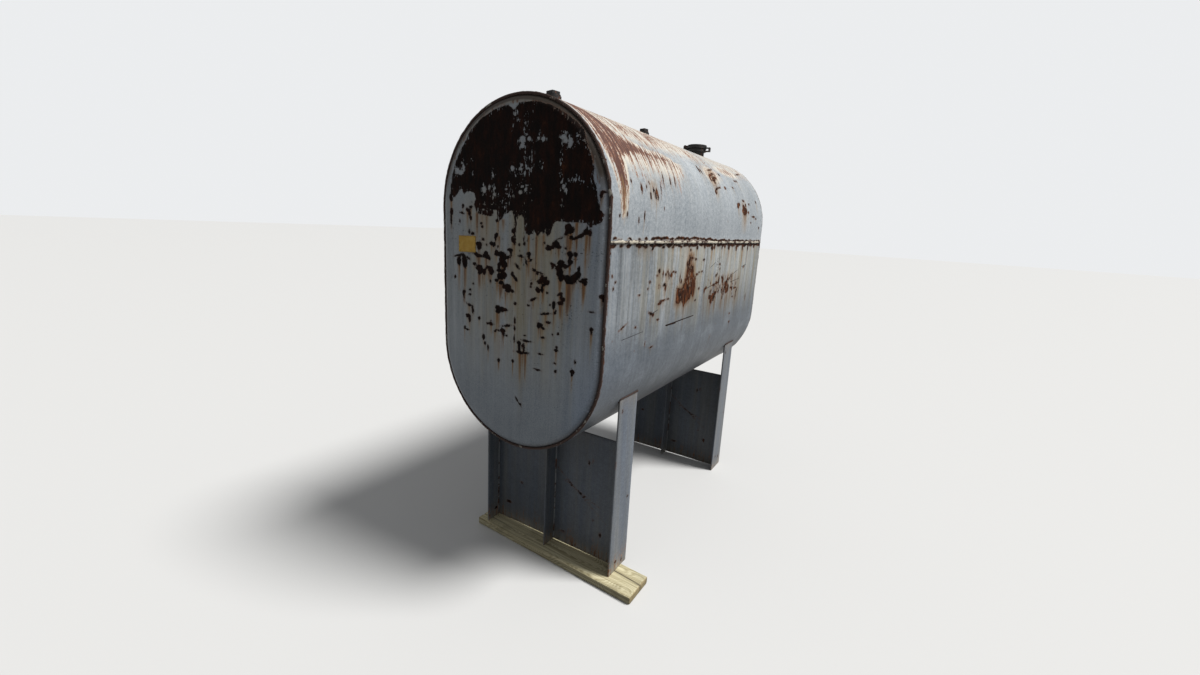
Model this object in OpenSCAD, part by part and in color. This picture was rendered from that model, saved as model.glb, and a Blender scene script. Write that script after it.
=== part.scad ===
// Obround steel fuel storage tank on two plate supports, with a timber under the front legs.
// Millimetres, +Z up, the tank lies along Y with its front head toward -Y.
// The origin is on the floor, under the middle of the whole outline.

/* [Shell] */
// Width of the shell over its flat sides
shell_w = 914; // [850:1:960]
// Height of the shell from belly to crown
shell_h = 1524; // [1450:1:1650]
// Length of the shell between its two rolled edges
shell_l = 2134; // [1800:1:2600]
// Wall of the two shell plates
shell_t = 4.8; // [3:0.1:8]
// Height of the side seams above the middle of the shell
seam_rise = 200; // [50:1:230]
// Half width of the weld ridge along each side seam
seam_bead_r = 6; // [4:0.5:10]

/* [Heads] */
// Plate of the two flanged heads
head_t = 4.8; // [3:0.1:8]
// Outside radius of the knuckle round each head
knuckle_r = 44; // [35:1:60]
// How far each head's flat face stands out of the shell
head_proud = 18; // [10:1:30]
// Length of the straight flange behind the knuckle
flange_l = 32; // [15:1:60]
// Height of the weld bead between each head and the shell's edge
head_bead = 5; // [4:0.5:8]

/* [Supports] */
// Clear height from the feet of the front legs to the belly
belly_clearance = 673; // [500:1:800]
// Distance from each shell edge to the near edge of its legs
leg_inset = 245; // [150:1:400]
// Distance between the outer faces of a pair of legs
leg_span = 820; // [760:1:840]
// Depth of each leg plate along the tank
leg_depth = 170; // [120:1:220]
// Thickness of the leg plates
leg_t = 8; // [6:0.5:12]
// Thickness of the web between a pair of legs
web_t = 6.4; // [5:0.1:10]
// Height of the web's top edge above the belly
web_rise = 7; // [2:0.5:20]
// Gap between the web's lower edge and the feet
web_foot_gap = 6; // [2:0.5:40]
// Thickness of the upright stiffener on each web
stiffener_t = 8; // [5:0.5:12]
// Size of the fillet welds on the supports
fillet = 6; // [4:0.5:8]

/* [Timber] */
// Thickness of the timber under the front legs
timber_t = 38; // [25:1:60]
// Width of the timber
timber_w = 184; // [140:1:240]
// Distance from the middle of the tank to the right end of the timber
timber_right = 565; // [430:1:700]
// Distance from the middle of the tank to the left end of the timber
timber_left = 470; // [430:1:700]
// How far the timber's right end lies ahead of the legs
timber_lead_right = 64; // [0:1:100]
// How far the timber's left end lies ahead of the legs
timber_lead_left = 12; // [0:1:100]

/* [Plugged couplings] */
// Distance from the front edge of the shell to the front coupling
front_coupling_inset = 212; // [150:1:400]
// Height of the couplings above the crown
coupling_h = 29; // [20:1:50]
// Outside diameter of the front coupling
front_coupling_d = 73; // [60:0.5:80]
// Wall of both couplings
coupling_t = 7; // [5:0.5:10]
// Side of the square head on the front plug
front_plug_sq = 42; // [30:1:50]
// Outside diameter of the middle coupling
middle_coupling_d = 60; // [50:0.5:70]
// Side of the square head on the middle plug
middle_plug_sq = 34; // [25:1:42]
// Height of the square heads
plug_head_h = 14; // [10:1:30]
// Thickness of the round collar under each square head
plug_collar_h = 7; // [4:0.5:12]
// Turn of the square heads about their screw axis
plug_turn = -13; // [-45:1:45]

/* [Fill cap] */
// Distance from the rear edge of the shell to the fill neck
fill_inset = 249; // [200:1:450]
// Outside diameter of the fill neck
neck_d = 102; // [90:1:104]
// Wall of the fill neck
neck_t = 6; // [4:0.5:8]
// Height of the neck's rim above the crown
neck_h = 77.7; // [70:0.1:100]
// Outside diameter of the hinged lid
lid_d = 134; // [132:1:140]
// Thickness of the lid's top
lid_t = 8; // [5:0.5:12]
// Wall of the lid's skirt
lid_wall = 5; // [4:0.5:6]
// Depth of the skirt below the lid's top
lid_skirt = 16; // [12:0.5:20]
// Thickness of the collar clamped round the neck
cap_collar_h = 17; // [14:0.5:20]
// Clearance between moving and fixed pieces of the cap
cap_gap = 5; // [5:0.5:6]
// Distance from the lid's edge to the hinge pin
hinge_reach = 19; // [17:1:28]
// Radius of the hinge knuckles
knuckle_round_r = 11; // [9:0.5:12]
// Radius of the hinge pin
pin_r = 4; // [3:0.5:5]
// Width of the lid's knuckle
lid_knuckle_w = 20; // [14:1:26]
// Width of each of the collar's two knuckles
ear_w = 7.5; // [5:0.5:10]
// How far the pin's heads stand out round it
pin_head_rim = 2.5; // [1.5:0.5:4]
// Thickness of the pin's heads
pin_head_t = 3; // [2:0.5:5]
// How far the collar stays inside the lid's edge
collar_setback = 4; // [2:0.5:8]
// Reach of the collar's padlock lug beyond the lid's edge
lug_reach = 30; // [25:1:43]
// Width of the padlock lugs
lug_w = 26; // [20:1:34]
// Thickness of the padlock lugs
lug_t = 7; // [5:0.5:9]
// Radius of the padlock holes
padlock_r = 6; // [4:0.5:7]
// Metal between a padlock hole and the end of the lid's lug
padlock_edge = 4; // [3:0.5:6]

/* [Hidden] */
$fn = 96;
fine_fn = 360;

// The whole outline is widest at the timber, so the tank stands beside the origin.
tank_x = (timber_left - timber_right) / 2;
tank_y = -shell_l / 2;
foot_z = timber_t;
belly_z = foot_z + belly_clearance;
middle_z = belly_z + shell_h / 2;
shell_in = shell_w / 2 - shell_t;
bend_y = head_proud - knuckle_r;
crown_z = belly_z + shell_h;
spine = (shell_h - shell_w) / 2;
front_leg_y = leg_inset;
rear_leg_y = shell_l - leg_inset - leg_depth;
leg_in_x = leg_span / 2 - leg_t;
middle_coupling_y = shell_l / 2;
fill_y = shell_l - fill_inset;
fitting_stub = 10;
seat_gap = 0.3;
lid_under_z = neck_h + seat_gap;
lid_top_z = lid_under_z + lid_t;
skirt_z = lid_under_z - lid_skirt;
collar_top_z = skirt_z - cap_gap;
collar_z = collar_top_z - cap_collar_h;
hinge_z = neck_h;
hinge_x = -lid_d / 2 - hinge_reach;
lug_x = lid_d / 2 + lug_reach;
lid_lug_x = lug_x - lug_t - cap_gap;
padlock_x = lid_lug_x - padlock_edge - padlock_r;
pin_play = 0.05;
knuckle_play = 0.5;
bung_weld = 6;

paint = [0.62, 0.64, 0.67];
rusty = [0.36, 0.22, 0.16];
black = [0.07, 0.07, 0.08];
timber_colour = [0.78, 0.72, 0.55];

// Everything below is drawn with x = 0 in the tank's middle and y = 0 at the front shell edge.
module on_tank() {
    translate([tank_x, tank_y, 0]) children();
}

module obround(w, h) {
    square([w, h - w], center = true);
    for (end = [-1, 1])
        translate([0, end * (h - w) / 2]) circle(d = w, $fn = fine_fn);
}

// A flat outline, drawn about the tank's middle line, run along the tank from y0 to y1
module along_tank(y0, y1) {
    translate([0, y1, middle_z]) rotate([90, 0, 0]) linear_extrude(y1 - y0) children();
}

module shell_outline_solid(y0, y1) {
    along_tank(y0, y1) obround(shell_w, shell_h);
}

// A wall profile swept round the obround: x is the distance from the spine, y the height
module round_obround() {
    for (half_turn = [0, 180]) rotate(half_turn) translate([0, spine, 0]) {
        rotate_extrude(angle = 180, $fn = fine_fn) children();
        rotate([90, 0, 0]) linear_extrude(2 * spine) children();
    }
}

// Stands a drawing made on the floor upright, facing the front of the tank
module at_front_edge() {
    translate([0, 0, middle_z]) rotate([90, 0, 0]) children();
}

module at_rear_edge() {
    translate([0, shell_l, 0]) mirror([0, 1, 0]) at_front_edge() children();
}

module shell_plate(from_z, to_z) {
    along_tank(0, shell_l) intersection() {
        difference() {
            obround(shell_w, shell_h);
            obround(shell_w - 2 * shell_t, shell_h - 2 * shell_t);
        }
        translate([-shell_w, from_z]) square([2 * shell_w, to_z - from_z]);
    }
}

module fitting_hole(y, d) {
    translate([0, y, crown_z - shell_w / 4]) cylinder(d = d, h = shell_w / 2);
}

module shell_upper() {
    color(paint) on_tank() difference() {
        shell_plate(seam_rise, shell_h);
        fitting_hole(front_coupling_inset, front_coupling_d);
        fitting_hole(middle_coupling_y, middle_coupling_d);
        fitting_hole(fill_y, neck_d);
    }
}

module shell_lower() {
    color(paint) on_tank() shell_plate(-shell_h, seam_rise);
}

module seam_bead(side) {
    color(paint) on_tank() along_tank(0, shell_l) intersection() {
        translate([side * shell_w / 2, seam_rise]) circle(r = seam_bead_r);
        translate([side * shell_w, seam_rise]) square([shell_w, shell_w], center = true);
    }
}

module head_profile() {
    translate([shell_in - knuckle_r, bend_y]) {
        translate([knuckle_r - head_t, -flange_l]) square([head_t, flange_l]);
        intersection() {
            difference() {
                circle(r = knuckle_r);
                circle(r = knuckle_r - head_t);
            }
            square(knuckle_r);
        }
    }
}

module head() {
    inset = 2 * (shell_t + knuckle_r);
    round_obround() head_profile();
    translate([0, 0, head_proud - head_t])
        linear_extrude(head_t) obround(shell_w - inset, shell_h - inset);
}

module front_head() {
    color(paint) on_tank() at_front_edge() head();
}

module rear_head() {
    color(paint) on_tank() at_rear_edge() head();
}

// The bead fills the groove between the knuckle and the shell's edge
module head_weld() {
    round_obround() difference() {
        polygon([[shell_in, bend_y / 2], [shell_in, 0], [shell_w / 2, 0], [shell_in, head_bead],
            [shell_in - shell_t, head_bead], [shell_in - knuckle_r / 2, bend_y / 2]]);
        translate([shell_in - knuckle_r, bend_y]) circle(r = knuckle_r);
    }
}

module front_head_weld() {
    color(rusty) on_tank() at_front_edge() head_weld();
}

module rear_head_weld() {
    color(rusty) on_tank() at_rear_edge() head_weld();
}

// A leg plate, cut off along its top by the shell that it carries
module leg(side, y, floor_z) {
    color(paint) on_tank() difference() {
        translate([side > 0 ? leg_in_x : -leg_span / 2, y, floor_z])
            cube([leg_t, leg_depth, middle_z - floor_z]);
        shell_outline_solid(0, shell_l);
    }
}

function web_y(leg_y) = leg_y + (leg_depth - web_t) / 2;

// The web stands between the legs and is cut out along its top for the belly
module web(leg_y, floor_z) {
    bottom = floor_z + web_foot_gap;
    color(paint) on_tank() difference() {
        translate([-leg_in_x, web_y(leg_y), bottom])
            cube([2 * leg_in_x, web_t, belly_z + web_rise - bottom]);
        shell_outline_solid(0, shell_l);
    }
}

module stiffener(leg_y, floor_z) {
    bottom = floor_z + web_foot_gap;
    color(paint) on_tank() translate([-stiffener_t / 2, leg_y, bottom])
        cube([stiffener_t, web_y(leg_y) - leg_y, belly_z - bottom]);
}

// An upright fillet in the corner at x, on the front of the web, opening to the given side
module upright_fillet(x, opens, leg_y, bottom, top) {
    translate([x, web_y(leg_y), bottom]) linear_extrude(top - bottom)
        polygon([[0, 0], [opens * fillet, 0], [0, -fillet]]);
}

module web_welds(leg_y, floor_z) {
    bottom = floor_z + web_foot_gap;
    color(rusty) on_tank() for (side = [-1, 1]) {
        upright_fillet(side * leg_in_x, -side, leg_y, bottom, belly_z + web_rise);
        upright_fillet(side * stiffener_t / 2, side, leg_y, bottom, belly_z);
    }
}

// Height at which an upright face at x meets the shell, on its underside or on its flat side
function belly_at(x) =
    middle_z - spine - sqrt(pow(shell_w / 2, 2) - pow(min(x, shell_w / 2), 2));

module leg_welds(leg_y) {
    color(rusty) on_tank() for (side = [-1, 1]) difference() {
        for (x = [leg_in_x, leg_span / 2])
            translate([side * x, leg_y - fillet / 2, belly_at(x)])
                rotate([-90, 0, 0]) cylinder(r = fillet, h = leg_depth + fillet);
        shell_outline_solid(0, shell_l);
        translate([side > 0 ? leg_in_x : -leg_span / 2, leg_y, foot_z])
            cube([leg_t, leg_depth, middle_z - foot_z]);
    }
}

module front_timber() {
    color(timber_colour) on_tank() linear_extrude(timber_t) polygon([
        [-timber_left, front_leg_y - timber_lead_left],
        [timber_right, front_leg_y - timber_lead_right],
        [timber_right, front_leg_y - timber_lead_right + timber_w],
        [-timber_left, front_leg_y - timber_lead_left + timber_w]]);
}

// A pipe end standing through the crown
module pipe_stub(y, d, wall, h) {
    translate([0, y, crown_z - fitting_stub]) difference() {
        cylinder(d = d, h = fitting_stub + h);
        translate([0, 0, -1]) cylinder(d = d - 2 * wall, h = fitting_stub + h + 2);
    }
}

module coupling(y, d) {
    color(black) on_tank() pipe_stub(y, d, coupling_t, coupling_h);
}

// A threaded body filling the coupling, a collar on its rim and a square head
module plug(y, coupling_d, square_side) {
    color(black) on_tank() translate([0, y, crown_z]) {
        cylinder(d = coupling_d - 2 * coupling_t, h = coupling_h);
        translate([0, 0, coupling_h]) {
            cylinder(d = coupling_d - coupling_t, h = plug_collar_h);
            translate([0, 0, plug_collar_h]) rotate(plug_turn)
                linear_extrude(plug_head_h) square(square_side, center = true);
        }
    }
}

module fill_neck() {
    color(black) on_tank() pipe_stub(fill_y, neck_d, neck_t, neck_h);
}

// A sloping collar of weld round a pipe, resting on the curved crown
module ring_weld(y, d) {
    color(rusty) on_tank() difference() {
        translate([0, y, crown_z]) rotate_extrude() polygon([
            [d / 2, -bung_weld], [d / 2 + bung_weld, -bung_weld],
            [d / 2 + bung_weld, 0], [d / 2, bung_weld]]);
        shell_outline_solid(0, shell_l);
    }
}

module fitting_welds() {
    ring_weld(front_coupling_inset, front_coupling_d);
    ring_weld(middle_coupling_y, middle_coupling_d);
    ring_weld(fill_y, neck_d);
}

// The fill cap is drawn about the neck's axis, with its height measured from the crown
module on_neck() {
    on_tank() translate([0, fill_y, crown_z]) children();
}

// A cylinder across the tank's middle plane, on the hinge axis
module on_hinge(y0, y1, r) {
    translate([hinge_x, y0, hinge_z]) rotate([-90, 0, 0]) cylinder(r = r, h = y1 - y0);
}

module fill_cap_collar() {
    ear_y = lid_knuckle_w / 2 + knuckle_play;
    collar_r = lid_d / 2 - collar_setback;
    color(black) on_neck() difference() {
        union() {
            translate([0, 0, collar_z]) cylinder(r = collar_r, h = cap_collar_h);
            for (y0 = [-ear_y - ear_w, ear_y]) {
                on_hinge(y0, y0 + ear_w, knuckle_round_r);
                translate([hinge_x - knuckle_round_r, y0, collar_z])
                    cube([2 * knuckle_round_r, ear_w, hinge_z - collar_z]);
                translate([hinge_x, y0, collar_z])
                    cube([-hinge_x, ear_w, cap_collar_h]);
            }
            translate([0, -lug_w / 2, collar_z]) cube([lug_x, lug_w, lug_t]);
            translate([lug_x - lug_t, -lug_w / 2, collar_z])
                cube([lug_t, lug_w, skirt_z + lug_t - collar_z]);
        }
        translate([0, 0, collar_z - 1]) cylinder(d = neck_d, h = cap_collar_h + 2);
        translate([padlock_x, 0, collar_z - 1]) cylinder(r = padlock_r, h = lug_t + 2);
        on_hinge(-ear_y - ear_w - 1, ear_y + ear_w + 1, pin_r);
    }
}

module lid_hinge_pin() {
    half = lid_knuckle_w / 2 + knuckle_play + ear_w;
    color(black) on_neck() {
        on_hinge(-half, half, pin_r);
        on_hinge(-half - pin_head_t, -half, pin_r + pin_head_rim);
        on_hinge(half, half + pin_head_t, pin_r + pin_head_rim);
    }
}

// Half section of the lid: a top with a rounded edge and a skirt below it
module lid_profile() {
    r = lid_d / 2;
    edge = lid_t / 2;
    translate([0, lid_under_z]) square([r - edge, lid_t]);
    translate([0, lid_under_z]) square([r, lid_t - edge]);
    translate([r - edge, lid_top_z - edge]) circle(r = edge);
    translate([r - lid_wall, skirt_z]) square([lid_wall, lid_skirt]);
}

module fill_lid() {
    color(black) on_neck() difference() {
        union() {
            rotate_extrude() lid_profile();
            on_hinge(-lid_knuckle_w / 2, lid_knuckle_w / 2, knuckle_round_r);
            translate([hinge_x, -lid_knuckle_w / 2, lid_under_z])
                cube([-hinge_x, lid_knuckle_w, lid_t]);
            translate([lid_d / 2 - lid_wall, -lug_w / 2, skirt_z])
                cube([lid_lug_x - lid_d / 2 + lid_wall, lug_w, lug_t]);
        }
        translate([padlock_x, 0, skirt_z - 1]) cylinder(r = padlock_r, h = lug_t + 2);
        on_hinge(-lid_knuckle_w, lid_knuckle_w, pin_r + pin_play);
    }
}

shell_upper();
shell_lower();
seam_bead(1);  // seam_bead_right
seam_bead(-1);  // seam_bead_left
front_head();
rear_head();
front_head_weld();
rear_head_weld();
leg(1, front_leg_y, foot_z);  // front_leg_right
leg(-1, front_leg_y, foot_z);  // front_leg_left
leg(1, rear_leg_y, 0);  // rear_leg_right
leg(-1, rear_leg_y, 0);  // rear_leg_left
web(front_leg_y, foot_z);  // front_web
web(rear_leg_y, 0);  // rear_web
stiffener(front_leg_y, foot_z);  // front_web_stiffener
stiffener(rear_leg_y, 0);  // rear_web_stiffener
web_welds(front_leg_y, foot_z);  // front_web_welds
web_welds(rear_leg_y, 0);  // rear_web_welds
leg_welds(front_leg_y);  // front_leg_welds
leg_welds(rear_leg_y);  // rear_leg_welds
front_timber();
coupling(front_coupling_inset, front_coupling_d);  // front_coupling
plug(front_coupling_inset, front_coupling_d, front_plug_sq);  // front_plug
coupling(middle_coupling_y, middle_coupling_d);  // middle_coupling
plug(middle_coupling_y, middle_coupling_d, middle_plug_sq);  // middle_plug
fill_neck();
fitting_welds();
fill_cap_collar();
lid_hinge_pin();
fill_lid();
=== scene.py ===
"""Looks for the obround fuel tank: dense sheet metal with its rust and chips, rippled welds, weathered timber."""
import math
import bmesh
import bpy
import numpy as np
from mathutils import Matrix, Vector


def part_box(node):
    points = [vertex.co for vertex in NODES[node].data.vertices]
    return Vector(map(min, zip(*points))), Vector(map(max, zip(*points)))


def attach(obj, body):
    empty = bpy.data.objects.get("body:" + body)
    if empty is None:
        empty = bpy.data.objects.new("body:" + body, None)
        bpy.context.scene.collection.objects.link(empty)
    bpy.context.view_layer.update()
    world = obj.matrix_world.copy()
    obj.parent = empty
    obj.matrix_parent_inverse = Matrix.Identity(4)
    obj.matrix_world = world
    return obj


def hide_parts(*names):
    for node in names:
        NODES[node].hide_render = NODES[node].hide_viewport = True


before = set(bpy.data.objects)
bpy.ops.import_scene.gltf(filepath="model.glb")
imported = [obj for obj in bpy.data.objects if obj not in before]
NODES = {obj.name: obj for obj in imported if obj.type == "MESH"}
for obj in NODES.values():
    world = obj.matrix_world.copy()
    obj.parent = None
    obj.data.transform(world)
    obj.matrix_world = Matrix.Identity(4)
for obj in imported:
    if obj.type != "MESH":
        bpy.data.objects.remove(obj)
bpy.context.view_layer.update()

# The tank's own sizes, taken from the CAD nodes, in metres.
lower_lo, lower_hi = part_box("shell_lower")
upper_lo, upper_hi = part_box("shell_upper")
TANK_X = (lower_lo.x + lower_hi.x) / 2
R = (lower_hi.x - lower_lo.x) / 2
Y_FRONT, Y_REAR = lower_lo.y, lower_hi.y
LENGTH = Y_REAR - Y_FRONT
BELLY, CROWN = lower_lo.z, upper_hi.z
MID = (BELLY + CROWN) / 2
SPINE = (CROWN - BELLY) / 2 - R          # half height of the flat sides
SEAM = upper_lo.z - MID
QUARTER = SPINE + R * math.pi / 2        # girth from mid-height to the crown
PLATE_T = 0.0048
KNUCKLE = 0.044
FLANGE = 0.032                           # the head's straight edge inside the shell
FACE_IN, FACE_T = 0.0008, 0.007          # the head's face: how far inside the CAD's it lies, and its thickness
PROUD = Y_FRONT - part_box("front_head")[0].y
BEAD_STEP = 0.0022                       # between a bead's points
# Half width and height of each weld bead.
HEAD_BEAD, SEAM_BEAD, FITTING_BEAD = (0.0066, 0.0048), (0.0074, 0.0046), (0.0058, 0.0042)
WEB_BEAD, LEG_BEAD = (0.0056, 0.0044), (0.0056, 0.0046)
NO_MARK = -0.06                          # depth far from any mark


# ---------------------------------------------------------------- numbers and meshes

def slope(v, start, reach):
    """0 up to start and 1 from reach beyond it. With a negative reach it falls the other way."""
    return np.clip((v - start) / reach, 0, 1)


def hump(v, middle, half, power=2):
    """1 at the middle, fading over half on each side. A higher power gives it a flat top."""
    return np.exp(-((v - middle) / half) ** power)


def rows_of(*parts):
    """Points, from an x, a y and a z of which some may be single numbers."""
    return np.stack(np.broadcast_arrays(*parts), -1).astype(float)


def hashed(i, j, k, seed):
    n = (i * 73856093) ^ (j * 19349663) ^ (k * 83492791) ^ (seed * 50331653)
    n = ((n ^ (n >> 13)) * 1274126177) & 0xFFFFFFFF
    return ((n ^ (n >> 16)) & 0xFFFF) / 65535.0


def lumps(points, size, seed):
    """Smooth noise from -1 to 1 with hills about this many metres apart."""
    p = np.asarray(points, float) / size + 1000.0
    base = np.floor(p).astype(np.int64)
    f = p - base
    f = f * f * (3 - 2 * f)
    total = 0.0
    for corner in np.ndindex(2, 2, 2):
        weight = 1.0
        for axis in range(3):
            weight = weight * (f[:, axis] if corner[axis] else 1 - f[:, axis])
        total = total + weight * hashed(*(base + corner).T, seed)
    return total * 2 - 1


def link(name, mesh):
    obj = bpy.data.objects.new(name, mesh)
    bpy.context.scene.collection.objects.link(obj)
    return obj


def bm_object(name, bm):
    """A new object from a bmesh, which is freed."""
    mesh = bpy.data.meshes.new(name)
    bm.to_mesh(mesh)
    bm.free()
    return link(name, mesh)


def make_mesh(name, verts, faces, material, body="tank", replaces=(), values=None, sharp=None):
    """A smooth closed piece, with a number or vector for each vertex under each name in values."""
    mesh = bpy.data.meshes.new(name)
    mesh.from_pydata([tuple(v) for v in np.asarray(verts, float)], [], faces)
    for key, value in (values or {}).items():
        value = np.asarray(value, np.float32)
        kind, field_name = ("FLOAT", "value") if value.ndim == 1 else ("FLOAT_VECTOR", "vector")
        mesh.attributes.new(key, kind, "POINT").data.foreach_set(field_name, value.ravel())
    bm = bmesh.new()
    bm.from_mesh(mesh)
    bmesh.ops.recalc_face_normals(bm, faces=bm.faces)
    bm.to_mesh(mesh)
    bm.free()
    mesh.polygons.foreach_set("use_smooth", [True] * len(mesh.polygons))
    if sharp:
        mesh.set_sharp_from_angle(angle=math.radians(sharp))
    obj = link(name, mesh)
    mesh.materials.append(material)
    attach(obj, body)
    if replaces:
        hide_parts(*replaces)
    return obj


def quads(first, second, closed=False):
    """Faces between two rows of vertex numbers."""
    first, second = list(first), list(second)
    if closed:
        first, second = first + first[:1], second + second[:1]
    return [(first[i], first[i + 1], second[i + 1], second[i]) for i in range(len(first) - 1)]


def grid_faces(rows):
    """Faces of a grid of vertex numbers."""
    return np.stack([rows[:-1, :-1], rows[1:, :-1], rows[1:, 1:], rows[:-1, 1:]], -1).reshape(-1, 4).tolist()


def cube_surface(nu, nv, nw):
    """Unit coordinates and faces of a cube whose sides are divided into nu, nv and nw."""
    counts = np.array([nu, nv, nw])
    grid = np.stack(np.meshgrid(*(np.arange(n + 1) for n in counts), indexing="ij"), -1)
    on = ((grid == 0) | (grid == counts)).any(-1)
    number = np.full(on.shape, -1)
    number[on] = np.arange(on.sum())
    faces = []
    for side in (number[0], number[-1], number[:, 0], number[:, -1], number[:, :, 0], number[:, :, -1]):
        faces += grid_faces(side)
    return grid[on] / counts.astype(float), faces


# ---------------------------------------------------------------- marks on the sheets

def spots(a, b, marks):
    """Depth in metres inside the nearest mark: (a, b, half width, half height, turn in degrees), in mm."""
    depth = np.full(len(a), NO_MARK)
    for ca, cb, ra, rb, *turned in marks:
        ca, cb, ra, rb = ca / 1000, cb / 1000, ra / 1000, rb / 1000
        turn = math.radians(turned[0]) if turned else 0.0
        u = (a - ca) * math.cos(turn) + (b - cb) * math.sin(turn)
        v = (b - cb) * math.cos(turn) - (a - ca) * math.sin(turn)
        depth = np.maximum(depth, (1 - np.hypot(u / ra, v / rb)) * min(ra, rb))
    return depth


def field(a, b, corners):
    """Depth in metres inside a polygon given in mm."""
    points = np.array(corners, float) / 1000
    inside = np.zeros(len(a), bool)
    near = np.full(len(a), 9.0)
    for (xa, ya), (xb, yb) in zip(points, np.roll(points, -1, axis=0)):
        along = np.clip(((a - xa) * (xb - xa) + (b - ya) * (yb - ya)) / ((xb - xa) ** 2 + (yb - ya) ** 2), 0, 1)
        near = np.minimum(near, np.hypot(a - xa - along * (xb - xa), b - ya - along * (yb - ya)))
        cross = (ya > b) != (yb > b)
        inside ^= cross & (a < (xb - xa) * (b - ya) / (yb - ya if yb != ya else 1e-9) + xa)
    return np.where(inside, near, -near)


def runs(a, b, drips):
    """Strength of the stains below: (a, top b, length, half width, strength), in mm."""
    clean = np.ones(len(a))
    for ca, top, length, half, strength in drips:
        t = (top / 1000 - b) / (length / 1000)
        side = np.abs(a - ca / 1000) / (half / 1000)
        clean *= 1 - strength * np.exp(-side ** 2) * np.clip(t * 8 + 0.6, 0, 1) * np.clip(1 - t, 0, 1) ** 0.7
    return 1 - clean


def short_runs(marks, length, strength):
    """A stain under each mark that is more than a speck."""
    made = []
    for i, (a, b, ra, rb, *_) in enumerate(marks):
        if ra * rb > 30:
            chance = 0.5 + 0.9 * hashed(i, 3, 7, 11)
            made.append((a, b, length * chance * (rb + 6), min(0.6 * ra, 9), strength * chance))
    return made


# Front head, in mm from the head's middle: to the right, then up. The outline of the bare steel at its top.
RUST_FIELD = [
    (-48, 712), (-15, 688), (12, 714), (60, 716), (110, 712), (150, 702), (200, 682), (250, 655), (292, 626),
    (322, 598), (338, 560), (352, 528), (366, 498), (378, 460), (378, 425), (392, 398), (400, 360), (410, 335),
    (416, 312), (430, 298), (424, 272), (405, 262), (386, 264), (378, 248), (368, 262), (345, 268), (300, 267),
    (215, 268), (202, 262), (190, 240), (180, 214), (168, 206), (158, 226), (150, 214), (140, 226), (124, 210),
    (115, 204), (104, 226), (96, 214), (75, 205), (60, 214), (50, 226), (48, 270), (30, 286), (12, 280), (4, 265),
    (0, 180), (-7, 180), (-5, 265), (-14, 296), (-32, 300), (-50, 290), (-68, 284), (-78, 262), (-98, 256),
    (-108, 300), (-126, 304), (-132, 278), (-150, 274), (-224, 284), (-230, 300), (-240, 320), (-232, 345),
    (-240, 368), (-265, 378), (-290, 374), (-305, 364), (-318, 390), (-340, 374), (-362, 350), (-388, 352),
    (-386, 400), (-372, 450), (-352, 500), (-322, 545), (-300, 572), (-260, 625), (-200, 666), (-120, 700)]
# Flecks of paint left in the rust: middle, half width, half height and turn in degrees, as all such marks.
PAINT_LEFT = [
    (30, 578, 18, 16), (28, 555, 16, 12), (64, 580, 12, 11), (38, 616, 12, 5), (45, 640, 4, 13), (50, 596, 12, 6),
    (45, 520, 3, 34), (80, 508, 4, 48), (112, 580, 9, 8), (135, 576, 12, 12), (120, 600, 5, 6), (232, 580, 18, 11),
    (245, 566, 14, 12), (268, 560, 14, 18), (266, 545, 12, 8), (300, 582, 12, 7, 20), (326, 564, 18, 6, -10),
    (-22, 470, 11, 13), (28, 480, 10, 9, 30), (22, 466, 14, 8), (52, 470, 6, 12), (66, 468, 9, 5), (78, 458, 5, 8),
    (28, 446, 14, 4), (-130, 440, 8, 9), (-134, 452, 5, 7), (-182, 382, 14, 17), (-150, 396, 8, 9),
    (-152, 386, 10, 7), (-122, 388, 12, 8, 40), (-122, 364, 14, 10), (-128, 352, 8, 7), (-40, 404, 12, 4),
    (-55, 385, 10, 5), (-34, 380, 12, 5, 20), (-48, 368, 14, 5), (-42, 358, 9, 4), (30, 396, 17, 6, 15),
    (22, 374, 14, 10), (52, 386, 13, 8, 40), (56, 402, 10, 5), (232, 414, 10, 8, 50), (240, 398, 9, 12),
    (254, 388, 9, 8), (268, 421, 14, 3, 12), (312, 424, 12, 3, -28), (328, 419, 8, 3, -28), (226, 460, 3, 16),
    (-346, 462, 16, 16), (-325, 455, 22, 12), (-306, 472, 10, 20), (-315, 494, 12, 7), (-10, 676, 8, 14),
    (-20, 630, 6, 6), (4, 652, 4, 4), (-180, 322, 8, 4), (-135, 322, 8, 4), (-188, 299, 16, 4), (-146, 299, 10, 4),
    (235, 330, 4, 6), (-55, 330, 8, 3), (-250, 446, 5, 5), (-260, 510, 5, 5), (130, 470, 12, 3, 80), (-60, 312, 9, 4),
    (-20, 298, 12, 4), (42, 302, 4, 9)]
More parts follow.
